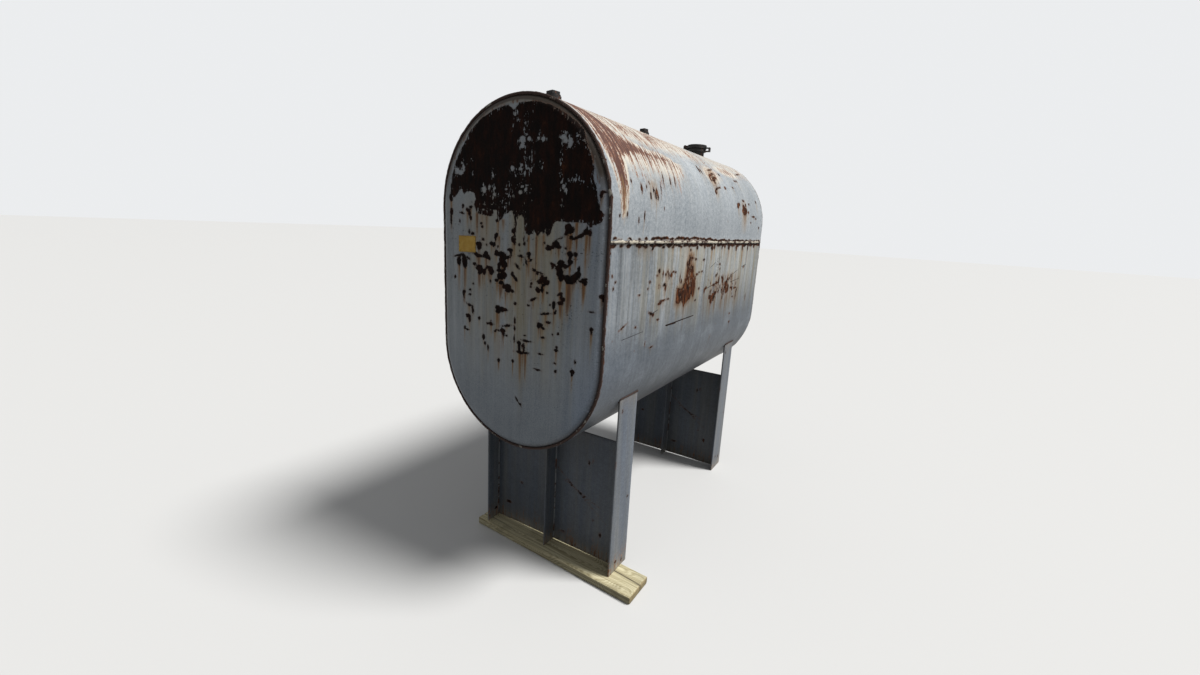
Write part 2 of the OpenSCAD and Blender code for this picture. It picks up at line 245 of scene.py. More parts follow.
# Chips in the head's paint.
HEAD_CHIPS = [
    (-386, 345, 10, 15), (-385, 285, 9, 13), (-388, 252, 4, 20), (-312, 312, 6, 8), (-318, 281, 9, 3, -15),
    (-284, 296, 10, 8, -30), (-272, 284, 8, 13, 20), (-265, 262, 5, 9, 30), (-333, 244, 3, 6), (-274, 204, 4, 7),
    (-262, 308, 8, 6), (-252, 194, 8, 6), (-200, 240, 5, 3), (-192, 227, 6, 5), (-188, 172, 6, 4), (-214, 150, 18, 9),
    (-212, 138, 12, 12), (-228, 104, 20, 7, -15), (-212, 98, 16, 7), (-170, 108, 13, 13), (-168, 100, 20, 10),
    (-152, 94, 9, 5, -40), (-338, 92, 22, 5, 12), (-308, 90, 16, 6, -20), (-340, 65, 12, 18), (-306, 66, 13, 26, 12),
    (-296, 62, 9, 16), (-282, 84, 9, 3, -30), (-242, 61, 9, 5), (-212, 44, 19, 13), (-208, 32, 12, 17),
    (-186, 34, 12, 8, 20), (-180, 26, 8, 9), (-152, 52, 16, 5), (-138, 40, 17, 10, -15), (-138, 30, 9, 9),
    (-143, -10, 4, 7), (-136, 157, 9, 6), (-122, 152, 8, 9, -40), (-164, 150, 5, 3), (-100, 145, 4, 5),
    (-106, 124, 9, 8), (-110, 114, 8, 8, -40), (-98, 112, 6, 5), (-76, 116, 22, 9), (-60, 106, 22, 8, -10),
    (-72, 92, 18, 17), (-64, 74, 20, 14), (-92, 66, 8, 12), (-58, 58, 5, 8), (-90, 46, 12, 8), (-80, 44, 14, 6),
    (-66, 26, 18, 14), (-84, 18, 18, 14), (-104, 0, 11, 6), (-78, -8, 13, 7), (-62, -22, 10, 10), (-42, -22, 20, 12),
    (-40, -38, 12, 9), (-18, -36, 14, 6, -15), (-30, 138, 12, 7), (-24, 126, 4, 8), (-38, 106, 12, 4, 20),
    (-12, 216, 9, 9), (-10, 182, 12, 12), (-4, 170, 5, 8), (-14, 36, 7, 9), (-4, 26, 10, 6, -50), (8, 14, 8, 5, -55),
    (12, 72, 13, 4, -35), (34, 115, 10, 4), (23, 162, 5, 5), (50, 168, 5, 6), (46, 188, 3, 5), (-105, 255, 6, 4),
    (-108, 196, 10, 8, 40), (-114, 184, 5, 10), (-365, -10, 6, 5), (5, -90, 8, 6), (3, -165, 5, 11),
    (-308, -74, 9, 7), (-311, -90, 4, 14), (-272, -82, 6, 4), (-276, -132, 14, 5, -20), (-254, -150, 5, 16, 5),
    (-282, -184, 15, 9), (-274, -198, 7, 12), (-306, -244, 6, 7), (-288, -250, 5, 2), (-212, -185, 7, 6),
    (-184, -270, 8, 10), (-175, -298, 5, 7), (-156, -315, 5, 9), (-160, -203, 6, 4), (-138, -200, 12, 6),
    (-137, -184, 3, 3), (-98, -120, 13, 9), (-96, -136, 14, 9), (-72, -124, 20, 9, -8), (-52, -125, 9, 5),
    (-44, -195, 20, 4, 12), (-68, -222, 13, 8), (-62, -234, 7, 12), (-90, -225, 6, 4), (-45, -240, 5, 4),
    (-112, -230, 8, 4, 30), (-90, -362, 6, 8), (-5, -350, 6, 6), (4, -200, 4, 8), (2, -246, 4, 10), (30, -260, 9, 7),
    (32, -282, 7, 18), (36, -303, 20, 5), (50, -272, 4, 10, -30), (58, -286, 5, 14), (64, -300, 14, 5),
    (70, -246, 18, 3), (62, -222, 5, 3), (105, -59, 13, 4, 25), (78, -88, 5, 4), (172, -112, 18, 4, 8),
    (186, -146, 11, 4), (134, -166, 6, 11), (146, -162, 10, 5), (158, -174, 11, 6, -30), (163, -215, 9, 4),
    (213, -70, 7, 14), (193, -72, 4, 4), (222, -96, 5, 8, -20), (243, -22, 10, 6, 20), (248, -34, 6, 9),
    (258, -42, 9, 8), (246, -58, 12, 7), (124, -14, 8, 9), (132, -20, 9, 8), (138, 18, 14, 7), (150, 32, 10, 9),
    (158, 22, 9, 9), (156, 8, 8, 6), (174, 20, 12, 10), (168, 36, 6, 6, 40), (150, -10, 5, 12), (108, 63, 9, 5, -20),
    (122, 54, 8, 5, -60), (142, 54, 11, 4, -15), (88, -8, 5, 4), (177, -23, 4, 3), (78, 128, 10, 5), (77, 118, 6, 10),
    (62, 94, 4, 12, 15), (88, 103, 7, 3, 25), (92, 6, 4, 4), (178, 160, 13, 10), (192, 164, 10, 5),
    (213, 176, 16, 12), (226, 168, 12, 8), (237, 165, 5, 6), (156, 178, 4, 3), (272, 244, 16, 14), (284, 232, 14, 11),
    (262, 222, 7, 7), (294, 240, 5, 7), (240, 203, 10, 2, 20), (288, 208, 7, 7), (298, 202, 8, 3),
    (314, 208, 10, 4, 10), (338, 218, 14, 6, 22), (360, 232, 14, 9), (377, 230, 6, 10), (360, 246, 3, 8),
    (262, 164, 4, 3), (283, 144, 12, 8), (290, 138, 8, 7), (312, 144, 9, 7), (286, 111, 12, 10), (284, 124, 4, 6),
    (243, 102, 17, 13), (262, 92, 12, 8), (280, 96, 10, 3, 30), (230, 82, 16, 10), (238, 64, 15, 17),
    (244, 46, 13, 14), (256, 54, 8, 5), (204, 94, 12, 5, -25), (200, 84, 4, 6), (278, 42, 14, 16), (298, 40, 20, 14),
    (312, 54, 20, 9), (326, 66, 14, 11), (330, 84, 5, 9), (344, 42, 8, 4), (356, 42, 14, 9), (362, 34, 7, 8),
    (366, 50, 6, 4), (438, -10, 9, 9), (444, -20, 5, 9), (235, -245, 5, 5), (233, -259, 9, 6), (233, -349, 6, 6),
    (210, -195, 4, 4), (240, -186, 4, 4), (320, -334, 9, 8), (318, -344, 5, 9), (332, -290, 5, 7), (403, -143, 8, 6),
    (404, -152, 4, 9), (400, -72, 8, 2), (420, 380, 8, 5), (416, 368, 5, 9), (22, -524, 7, 2, -45),
    (32, -536, 9, 2, -40), (44, -542, 4, 3), (140, -362, 10, 3), (228, -315, 4, 3), (150, -290, 6, 2),
    (-250, -30, 4, 3), (-268, -60, 5, 3)]
# Stains below them: place across, top, length, half width and strength, as all such runs.
HEAD_RUNS = [
    (-225, 284, 130, 9, 0.75), (-190, 280, 150, 26, 0.42), (-165, 274, 150, 8, 0.45), (-100, 258, 110, 7, 0.9),
    (-92, 190, 90, 7, 0.7), (-70, 262, 60, 10, 0.6), (-102, -4, 90, 7, 0.5), (-84, -12, 90, 7, 0.5),
    (-54, -46, 90, 5, 0.9), (-20, -50, 70, 12, 0.3), (-104, -145, 110, 6, 0.9), (-92, -145, 90, 5, 0.8),
    (-65, -238, 90, 5, 0.7), (-90, -240, 200, 28, 0.25), (-90, -368, 50, 5, 0.6), (38, -306, 140, 5, 0.9),
    (66, -304, 130, 5, 0.9), (52, -300, 170, 24, 0.35), (74, 205, 190, 7, 0.85), (114, 205, 190, 6, 0.95),
    (138, 214, 200, 16, 0.35), (150, 210, 90, 7, 0.6), (95, 100, 300, 26, 0.3), (232, 160, 60, 4, 0.8),
    (240, 34, 110, 6, 0.95), (280, 30, 170, 9, 0.95), (292, 28, 120, 6, 0.6), (312, 266, 80, 9, 0.9),
    (316, 200, 90, 7, 0.5), (284, 200, 80, 18, 0.35), (359, 216, 130, 5, 0.95), (374, 218, 120, 9, 0.55),
    (362, 130, 160, 8, 0.4), (357, 30, 110, 4, 0.8), (312, 138, 70, 6, 0.5), (286, 100, 60, 5, 0.6),
    (256, -58, 110, 5, 0.9), (243, -60, 70, 5, 0.5), (152, -10, 80, 6, 0.5), (405, -155, 120, 4, 0.35),
    (-212, 14, 110, 8, 0.35), (-190, 16, 80, 7, 0.4), (-306, 42, 90, 5, 0.5), (-338, 46, 50, 4, 0.45),
    (-386, 345, 170, 7, 0.4), (-10, 170, 160, 20, 0.3), (5, 8, 80, 9, 0.45), (20, 40, 200, 14, 0.2)]
# Pale streaks washed down the lower part of the head.
HEAD_PALE = [
    (38, -320, 330, 10, 0.9), (52, -330, 300, 5, 0.7), (318, -350, 260, 8, 0.85), (403, -160, 170, 7, 0.8),
    (233, -365, 160, 6, 0.7), (-195, -380, 130, 6, 0.6), (-90, -380, 150, 5, 0.5), (-120, -300, 240, 9, 0.5),
    (110, -280, 280, 9, 0.5), (160, -230, 240, 6, 0.5), (-250, -220, 200, 6, 0.4), (370, -120, 260, 6, 0.45),
    (-20, -260, 320, 7, 0.5), (280, -120, 260, 7, 0.5)]

# Right side of the shell: mm back from its front edge, and mm along the girth above mid-height.
SHELL_CHIPS = [
    (168, 440, 5, 8), (252, 420, 7, 16), (300, 430, 5, 7), (330, 395, 6, 12), (362, 420, 5, 10), (378, 402, 6, 14),
    (392, 415, 7, 16), (400, 395, 6, 10), (440, 430, 3, 16, -12), (486, 480, 4, 22, -12), (270, 312, 5, 14),
    (220, 288, 3, 10), (120, 305, 4, 8), (60, 300, 5, 5), (460, 350, 3, 5), (560, 476, 4, 15, -14),
    (618, 490, 4, 17, -16), (1190, 482, 14, 12, 20), (1215, 502, 20, 6, 15), (1262, 514, 26, 5, 10),
    (1180, 568, 12, 18), (1230, 560, 30, 7, 8), (1270, 580, 24, 8), (1210, 590, 26, 6, 10), (1262, 606, 20, 5, 10),
    (1240, 630, 26, 4, 15), (1290, 640, 18, 3, 15), (1390, 525, 18, 9), (1050, 610, 10, 22), (1080, 600, 8, 16),
    (1400, 620, 14, 8), (1570, 428, 24, 16, 25), (1600, 440, 16, 8), (1662, 398, 16, 12), (1690, 420, 26, 20),
    (1725, 400, 36, 18), (1700, 384, 30, 10), (1742, 440, 14, 10), (1790, 395, 12, 8), (1705, 468, 18, 6),
    (1820, 452, 14, 5), (1900, 372, 30, 5), (1960, 360, 14, 4), (1840, 330, 9, 5), (1560, 545, 12, 6),
    (1700, 610, 22, 6), (1745, 615, 12, 8), (1930, 700, 60, 5, 12), (2010, 480, 12, 8), (2050, 300, 10, 6),
    (370, 170, 10, 5, 30), (30, 70, 5, 6), (58, 44, 6, 4), (44, 20, 4, 6), (270, -26, 8, 4), (455, 70, 12, 9),
    (498, 54, 6, 12), (528, 50, 7, 7), (548, 62, 8, 4), (590, 44, 12, 10), (612, 60, 12, 4), (640, 56, 8, 5),
    (520, 2, 14, 7), (534, -14, 7, 14), (365, 25, 10, 6), (350, -4, 4, 3), (440, 50, 10, 4), (484, -84, 18, 6),
    (520, -72, 26, 4), (575, -70, 9, 4), (398, -122, 24, 6, -20), (425, -132, 10, 7), (140, -150, 20, 3, 20),
    (255, -165, 8, 3), (480, -160, 10, 4), (700, 22, 5, 18), (720, 6, 8, 10), (690, -36, 14, 10), (678, -66, 8, 34),
    (712, -62, 12, 18), (760, -70, 30, 22), (800, -58, 26, 16), (850, -48, 22, 10), (775, -102, 22, 8),
    (780, 92, 10, 14), (850, 118, 18, 4), (812, 160, 8, 6), (895, 112, 12, 5), (790, 20, 10, 20), (768, 10, 8, 8),
    (930, 30, 16, 6), (960, 40, 10, 3), (905, 8, 10, 8), (1000, 42, 10, 4), (1014, 106, 12, 5), (975, -50, 10, 5),
    (938, -112, 10, 5), (1065, -70, 10, 14), (1086, -56, 14, 8), (1242, 6, 12, 9), (1215, -48, 22, 8),
    (1260, -40, 18, 9), (1298, -24, 10, 22), (1290, 72, 12, 5), (1300, 44, 8, 4), (1262, 15, 6, 6),
    (1168, -116, 26, 12), (1180, -134, 12, 16), (1232, -140, 10, 6), (1352, -12, 12, 9), (1372, -28, 16, 16),
    (1382, -52, 8, 9), (1470, -28, 12, 8), (1440, -48, 18, 10), (1462, -60, 9, 9), (1380, -94, 8, 20),
    (1462, -108, 22, 9), (1480, -96, 12, 14), (1395, -138, 8, 12), (1540, -88, 12, 5), (1562, -92, 20, 7, -20),
    (1640, -96, 22, 6), (1672, -112, 11, 14), (1664, -148, 7, 26), (1600, -152, 12, 5), (1580, -262, 12, 5),
    (1590, -320, 14, 6), (1250, -362, 16, 4), (1790, 38, 10, 8), (1770, 34, 6, 5), (1905, -180, 6, 20),
    (360, -258, 4, 8), (420, -284, 12, 3), (1222, -114, 30, 18), (1200, -138, 12, 26), (1258, -98, 22, 10),
    (1450, -74, 16, 30), (1488, -86, 18, 22), (1418, -90, 10, 26)]
# The brown film that runs down beside the front edge and back along the top of the side.
FILM = [
    (40, 1010), (52, 900), (30, 820), (38, 700), (34, 620), (46, 540), (58, 470), (70, 390), (86, 300), (112, 310),
    (130, 390), (142, 470), (158, 535), (232, 566), (330, 570), (430, 566), (540, 576), (660, 582), (690, 600),
    (600, 616), (470, 612), (360, 624), (260, 640), (190, 668), (150, 730), (128, 820), (112, 920), (100, 1010)]
# Chips along the seam.
SEAM_CHIPS = [
    (1130, 168, 18, 12), (1168, 172, 12, 10), (1300, 172, 10, 14), (1350, 176, 14, 9), (1430, 170, 18, 16),
    (1500, 180, 30, 6), (1580, 168, 17, 22), (1610, 178, 14, 9), (1712, 170, 14, 22), (1752, 178, 22, 8),
    (1838, 168, 12, 22), (1900, 180, 36, 6), (1985, 176, 22, 14), (2060, 182, 30, 5), (902, 172, 12, 9),
    (1012, 174, 12, 8), (480, 178, 12, 5), (585, 176, 12, 5), (682, 178, 14, 5), (300, 180, 18, 4), (790, 180, 14, 4),
    (240, 180, 12, 4), (1230, 182, 22, 5)]
# Scratches: start, end and half width.
SCRATCHES = [
    ((571, -201), (930, -196), 2.8), ((575, -202), (690, -204), 4.2), ((140, -204), (330, -196), 1.2),
    ((1520, -52), (1700, -38), 1.6), ((1740, 38), (1830, 52), 1.8), ((1560, -2), (1660, 22), 1.5),
    ((400, -126), (470, -112), 1.6), ((1080, -62), (1290, -36), 1.8), ((1130, 58), (1210, 84), 1.4)]
# The big scab on the side, under the seam.
SCAB = [
    (800, 138), (848, 132), (842, 96), (872, 72), (892, 22), (912, -18), (916, -50), (900, -92), (872, -70),
    (850, -96), (806, -112), (778, -128), (752, -92), (712, -112), (672, -104), (676, -38), (740, -24), (768, 8),
    (776, 60), (786, 100)]
# Stains on the side.
SHELL_RUNS = [
    (300, 185, 70, 60, 0.35), (590, 185, 90, 10, 0.35), (640, 185, 110, 8, 0.35), (760, 180, 100, 30, 0.3),
    (900, 172, 80, 8, 0.6), (1012, 172, 70, 8, 0.4), (1130, 165, 110, 10, 0.7), (1168, 165, 70, 8, 0.5),
    (1300, 165, 80, 7, 0.6), (1350, 170, 80, 20, 0.35), (1425, 165, 130, 9, 0.8), (1450, 160, 90, 18, 0.35),
    (1580, 160, 90, 8, 0.5), (1712, 160, 140, 9, 0.7), (1740, 160, 110, 24, 0.3), (1838, 160, 110, 7, 0.8),
    (1980, 160, 60, 9, 0.5), (820, 110, 150, 34, 0.7), (860, 30, 90, 24, 0.6), (690, -60, 150, 8, 0.85),
    (780, -70, 200, 10, 0.85), (805, -60, 150, 10, 0.6), (850, -50, 140, 24, 0.55), (740, -60, 120, 30, 0.5),
    (535, -10, 110, 6, 0.6), (575, -10, 80, 12, 0.3), (460, 60, 60, 8, 0.3), (1145, -120, 140, 8, 0.7),
    (1180, -130, 100, 18, 0.4), (1460, -140, 170, 12, 0.75), (1485, -130, 110, 10, 0.5), (1395, -140, 90, 8, 0.5),
    (1560, -110, 110, 9, 0.5), (1662, -150, 130, 7, 0.8), (1240, -30, 70, 10, 0.4), (1370, -40, 80, 12, 0.5),
    (1700, 400, 150, 50, 0.65), (1570, 415, 60, 12, 0.5), (1920, 200, 60, 14, 0.3), (1220, 560, 110, 34, 0.45),
    (365, 455, 120, 40, 0.5), (97, 450, 190, 4, 0.75), (112, 400, 120, 4, 0.6), (82, 400, 110, 3, 0.6),
    (104, 350, 90, 5, 0.5)]


# ---------------------------------------------------------------- materials

def srgb(r, g, b):
    return tuple((c / 255 / 12.92 if c <= 10 else ((c / 255 + 0.055) / 1.055) ** 2.4) for c in (r, g, b)) + (1.0,)


class Shade:
    """A material whose nodes are written as calls. Numbers and node outputs can stand for each other."""

    def __init__(self, name):
        self.mat = bpy.data.materials.new(name)
        self.mat.use_nodes = True
        self.tree = self.mat.node_tree
        self.shader = self.tree.nodes["Principled BSDF"]

    def feed(self, inputs, key, value):
        if isinstance(value, bpy.types.NodeSocket):
            self.tree.links.new(value, inputs[key])
        else:
            inputs[key].default_value = value

    def node(self, kind, sockets, out=0, **props):
        n = self.tree.nodes.new(kind)
        for key, value in props.items():
            setattr(n, key, value)
        for key, value in sockets.items():
            self.feed(n.inputs, key, value)
        return n.outputs[out]

    def value(self, name, out="Fac"):
        """A number, or with out="Vector" a vector, that the mesh carries."""
        return self.node("ShaderNodeAttribute", {}, out, attribute_name=name)

    def place(self):
        return self.node("ShaderNodeTexCoord", {}, "Object")

    def noise(self, vec, scale, detail=3.0, rough=0.55, swirl=0.0):
        return self.node("ShaderNodeTexNoise", {"Vector": vec, "Scale": scale, "Detail": detail, "Roughness": rough,
                                                "Distortion": swirl}, "Fac")

    def streaks(self, vec, scales, detail, rough, swirl=0.0):
        """Noise with a scale of its own for each axis."""
        scaled = self.node("ShaderNodeVectorMath", {0: vec, 1: scales}, operation="MULTIPLY")
        return self.noise(scaled, 1.0, detail, rough, swirl)

    def do(self, op, a, b=0.0, clamp=False):
        return self.node("ShaderNodeMath", {0: a, 1: b}, operation=op, use_clamp=clamp)

    def add(self, *terms):
        total = terms[0]
        for term in terms[1:]:
            total = self.do("ADD", total, term)
        return total

    def times(self, *terms):
        total = terms[0]
        for term in terms[1:]:
            total = self.do("MULTIPLY", total, term)
        return total

    def sway(self, v, amount):
        """v made to swing round 0, times amount."""
        return self.times(self.add(v, -0.5), amount)

    def rise(self, v, low, high, to_low=0.0, to_high=1.0):
        return self.node("ShaderNodeMapRange", {"Value": v, "From Min": low, "From Max": high, "To Min": to_low,
                                                "To Max": to_high}, interpolation_type="SMOOTHSTEP")

    def ramp(self, fac, *stops):
        """Colours by number, from stops of (place, red, green, blue)."""
        n = self.tree.nodes.new("ShaderNodeValToRGB")
        self.tree.links.new(fac, n.inputs["Fac"])
        marks = n.color_ramp.elements
        while len(marks) < len(stops):
            marks.new(0.5)
        for mark, (at, *colour) in zip(marks, stops):
            mark.position, mark.color = at, srgb(*colour)
        return n.outputs["Color"]

    def mix(self, fac, a, b, blend="MIX"):
        return self.node("ShaderNodeMix", {0: fac, 6: a, 7: b}, 2, data_type="RGBA", blend_type=blend)

    def line(self, flow, start, end, half):
        """A scratch: 1 on the line between two places, in mm, with an uneven width."""
        a, b = Vector((*start, 0)) / 1000, Vector((*end, 0)) / 1000
        math_node = "ShaderNodeVectorMath"
        away = self.node(math_node, {0: flow, 1: a}, operation="SUBTRACT")
        along = self.node(math_node, {0: away, 1: (b - a) / (b - a).length_squared}, 1, operation="DOT_PRODUCT")
        share = self.do("MULTIPLY", along, 1.0, clamp=True)
        nearest = self.node(math_node, {0: b - a, "Scale": share}, operation="SCALE")
        gap = self.node(math_node, {0: away, 1: nearest}, 1, operation="DISTANCE")
        uneven = self.sway(self.noise(flow, 120, 3, 0.6), half / 1000 * 2.2)
        return self.rise(self.add(gap, uneven), half / 1400, half / 800, 1.0, 0.0)

    def finish(self, colour, roughness, height=None):
        self.feed(self.shader.inputs, "Base Color", colour)
        self.feed(self.shader.inputs, "Roughness", roughness)
        if height is not None:
            bump = self.node("ShaderNodeBump", {"Height": height, "Strength": 1.0, "Distance": 1.0}, "Normal")
            self.feed(self.shader.inputs, "Normal", bump)
        return self.mat


def weathered_paint(name, light, middle, dark, streaky=1.0):
    """Old grey paint over steel. The sheet's values say where it is chipped, stained, filmed with rust and grimy, and
    where painted shade darkens it and painted bluish sky light tints it.
    """
    s = Shade(name)
    flow = s.value("flow", "Vector")
    deep_and_shaded, stained, filmed, dripping = s.value("deep_and_shaded"), s.value("stain"), s.value("film"), s.value("drip")
    ragged = s.add(s.value("depth"), s.rise(deep_and_shaded, 0.0, 1.0, 0.0006, 0.0018),
                   s.sway(s.noise(flow, 40, 5, 0.6), 0.012), s.sway(s.noise(flow, 130, 5, 0.72, 0.6), 0.015))
    # Flecks of paint stand in the rust near its edges, and specks of rust in the paint where it is worn.
    flecks = s.rise(s.add(s.streaks(flow, (150, 46, 1), 3, 0.6), s.times(s.noise(flow, 16, 2), 0.20)), 0.69, 0.75)
    ragged = s.add(ragged, s.times(flecks, s.value("fleck"), -0.013))
    specks = s.add(s.noise(flow, 115, 5, 0.66), s.sway(s.noise(flow, 9, 3), 0.30), s.times(s.value("wear"), 0.155))
    chip = s.do("MAXIMUM", s.rise(ragged, -0.0005, 0.0005), s.rise(specks, 0.775, 0.79))
    rim = s.rise(ragged, -0.0055, 0.0)
    for (xa, ya), (xb, yb), half in SCRATCHES:
        # The lower plate's girth has gone once round when it comes to the right side.
        chip = s.do("MAXIMUM", chip, s.line(flow, (xa, ya + 4000 * QUARTER), (xb, yb + 4000 * QUARTER), half))

    broad = s.noise(flow, 2.4, 3, 0.5)
    wide = s.streaks(flow, (9, 0.7, 1), 5, 0.62)
    streak = s.streaks(flow, (34, 1.3, 2), 5, 0.66)
    thin = s.streaks(flow, (120, 3.4, 3), 3, 0.6)
    grain = s.noise(flow, 170, 4, 0.85)
    mottle = s.noise(flow, 52, 5, 0.75)
    runny = s.times(s.value("streak"), streaky)
    tone = s.add(s.sway(broad, 0.7), s.times(runny, s.add(s.sway(wide, 1.8), s.sway(streak, 2.0), s.sway(thin, 1.1))),
                 s.sway(grain, 1.7), s.sway(mottle, s.rise(deep_and_shaded, 0.3, 1.0, 1.5, 0.45)), 0.5)
    paint = s.ramp(tone, (0.05, *dark), (0.5, *middle), (0.95, *light))
    # A painted bluish cast of sky light on the paint in shade.
    paint = s.mix(s.value("sky_tint"), paint, s.mix(1.0, paint, (0.84, 0.93, 1.10, 1), "MULTIPLY"))
    # Beige run-down dirt.
    patchy = s.add(s.streaks(flow, (15, 0.7, 5), 6, 0.72), s.sway(grain, 0.35))
    paint = s.mix(s.times(stained, s.rise(patchy, 0.34, 0.70), 0.85), paint,
                  s.ramp(streak, (0.3, 124, 114, 86), (0.7, 172, 163, 138)))
    # Brown film over chalky paint, broken into streaks where it is thin.
    film = s.add(filmed, s.rise(s.streaks(flow, (62, 5, 4), 5, 0.7), 0.38, 0.62, -0.40, 0.44),
                 s.rise(s.streaks(flow, (150, 50, 1), 4, 0.75), 0.36, 0.64, -0.22, 0.22))
    chalk = s.times(s.rise(filmed, 0.02, 0.3), s.rise(streak, 0.36, 0.58, 0.45, 1.0))
    paint = s.mix(chalk, paint, srgb(212, 206, 193))
    paint = s.mix(s.times(s.rise(film, 0.44, 0.56), s.rise(filmed, 0.0, 0.08)), paint,
                  s.ramp(film, (0.44, 188, 142, 100), (0.60, 142, 96, 72), (0.84, 104, 70, 58), (1.0, 86, 54, 44)))
    # Drips: pale ochre with dark threads, and hairs of rust below the seam.
    drip = s.times(dripping, s.rise(s.streaks(flow, (120, 2, 1), 4, 0.62), 0.26, 0.62, 0.22, 1.0))
    threads = s.times(s.rise(dripping, 0.2, 0.8), s.rise(s.streaks(flow, (210, 3, 1), 2, 0.6), 0.48, 0.58))
    hairs = s.times(stained, s.rise(s.streaks(flow, (170, 2.2, 3), 4, 0.6), 0.60, 0.70), 0.62)
    paint = s.mix(s.do("MULTIPLY", drip, 1.35, clamp=True), paint,
                  s.ramp(drip, (0.0, 176, 150, 108), (0.35, 152, 117, 68), (1.0, 110, 72, 36)))
    paint = s.mix(s.times(threads, 0.8), paint, srgb(78, 47, 24))
    paint = s.mix(hairs, paint, srgb(84, 60, 40))
    # Darker low down and in the knuckle toward the weld, as painted shade, with grime too on the supports; soot browns
    # the knuckle's top, and painted shade darkens the belly and the knuckle's outer part; a brown rim goes round each
    # chip.
    paint = s.mix(s.times(s.value("grime_and_shade"), s.rise(s.noise(flow, 5.5, 4, 0.6), 0.1, 0.6, 0.55, 1.0)), paint,
                  s.mix(1.0, paint, (0.25, 0.27, 0.295, 1), "MULTIPLY"))
    soot_and_shade = s.value("soot_and_shade")
    patchy_soot_and_shade = s.rise(s.add(s.streaks(flow, (40, 40, 1), 5, 0.7), s.times(soot_and_shade, 0.2)), 0.38, 0.56)
    paint = s.mix(s.times(soot_and_shade, patchy_soot_and_shade), paint, srgb(50, 42, 35))
    paint = s.mix(s.times(rim, s.rise(deep_and_shaded, 0.0, 1.0, 0.7, 0.35)), paint, srgb(96, 62, 38))

    # Bare steel: brown and orange on the shell, near black on the head, blackest at the paint's edge, where it is
    # painted shadow of the paint's lip.
    patch = s.add(s.streaks(flow, (34, 14, 1), 5, 0.68), s.times(s.streaks(flow, (90, 12, 1), 3, 0.6), 0.25))
    warm = s.ramp(patch, (0.52, 26, 16, 11), (0.64, 74, 42, 26), (0.77, 122, 74, 44), (0.93, 162, 112, 72))
    # The near-black copy of the rust, used on the head, by the seam and on the supports, is partly painted shade.
    black = s.ramp(patch, (0.40, 12, 9, 9), (0.58, 22, 15, 13), (0.74, 40, 23, 18), (0.90, 74, 44, 29))
    rust = s.mix(s.rise(ragged, 0.0, 0.0036, 0.85, 0.0), s.mix(deep_and_shaded, warm, black), srgb(18, 13, 12))
    rough = s.add(s.times(chip, 0.36), s.sway(broad, 0.18), s.times(dripping, 0.12), 0.48)
    height = s.add(s.times(chip, s.add(s.times(s.noise(flow, 95, 5, 0.7), 0.0024), -0.0018)),
                   s.times(s.noise(flow, 330, 2), 0.00010), s.times(rim, 0.0004))
    s.feed(s.shader.inputs, "Specular IOR Level", s.rise(chip, 0.0, 1.0, 0.40, 0.10))
    return s.finish(s.mix(chip, paint, rust), rough, height)


def bead_metal(name, bare, pale, dark, bright=(120, 80, 54)):
    """A weld bead: paint on its crest, rust in its hollows, which also darkens them as painted crevice shade. bare says
    how much of it is rust.
    """
    s = Shade(name)
    p = s.place()
    old = s.rise(s.add(s.noise(p, 20, 4, 0.6), s.times(s.noise(p, 120, 4, 0.65), 0.6), s.times(s.value("rust"), 0.55)),
                 1.02 - bare, 1.14 - bare)
    paint = s.ramp(s.noise(p, 60, 4, 0.6), (0.2, *dark), (0.8, *pale))
    rust = s.ramp(s.noise(p, 85, 5, 0.7), (0.30, 20, 14, 12), (0.5, 52, 32, 24), (0.76, *bright))
    return s.finish(s.mix(old, paint, rust), s.add(s.times(old, 0.3), 0.5), s.times(s.noise(p, 240, 3, 0.6), 0.0008))


def black_iron(name, brown):
    """Cast or forged fittings: black, pitted, with rust in patches and dust on what faces up."""
    s = Shade(name)
    p = s.place()
    bare = s.rise(s.add(s.noise(p, 38, 5, 0.65), s.times(s.noise(p, 240, 3, 0.6), 0.3)), 0.90 - 0.35 * brown,
                  1.02 - 0.35 * brown)
    base = s.ramp(s.noise(p, 120, 4, 0.6), (0.2, 17, 17, 18), (0.8, 34, 33, 33))
    rust = s.ramp(s.noise(p, 90, 5, 0.7), (0.25, 40, 25, 20), (0.5, 78, 45, 30), (0.8, 118, 76, 48))
    up = s.node("ShaderNodeSeparateXYZ", {0: s.node("ShaderNodeNewGeometry", {}, "Normal")}, "Z")
    dust = s.times(s.rise(up, 0.5, 1.0), s.rise(s.noise(p, 55, 4, 0.6), 0.35, 0.75), 0.14)
    colour = s.mix(dust, s.mix(bare, base, rust), srgb(96, 88, 78))
    height = s.add(s.times(s.noise(p, 300, 4, 0.65), 0.0008), s.times(bare, 0.0002))
    return s.finish(colour, s.add(s.times(bare, 0.25), 0.52), height)


def bare_inside(name):
    s = Shade(name)
    p = s.place()
    rust = s.ramp(s.noise(p, 14, 6, 0.65), (0.25, 46, 30, 23), (0.5, 84, 54, 38), (0.8, 116, 82, 58))
    return s.finish(rust, 0.85, s.times(s.noise(p, 180, 4, 0.6), 0.0006))


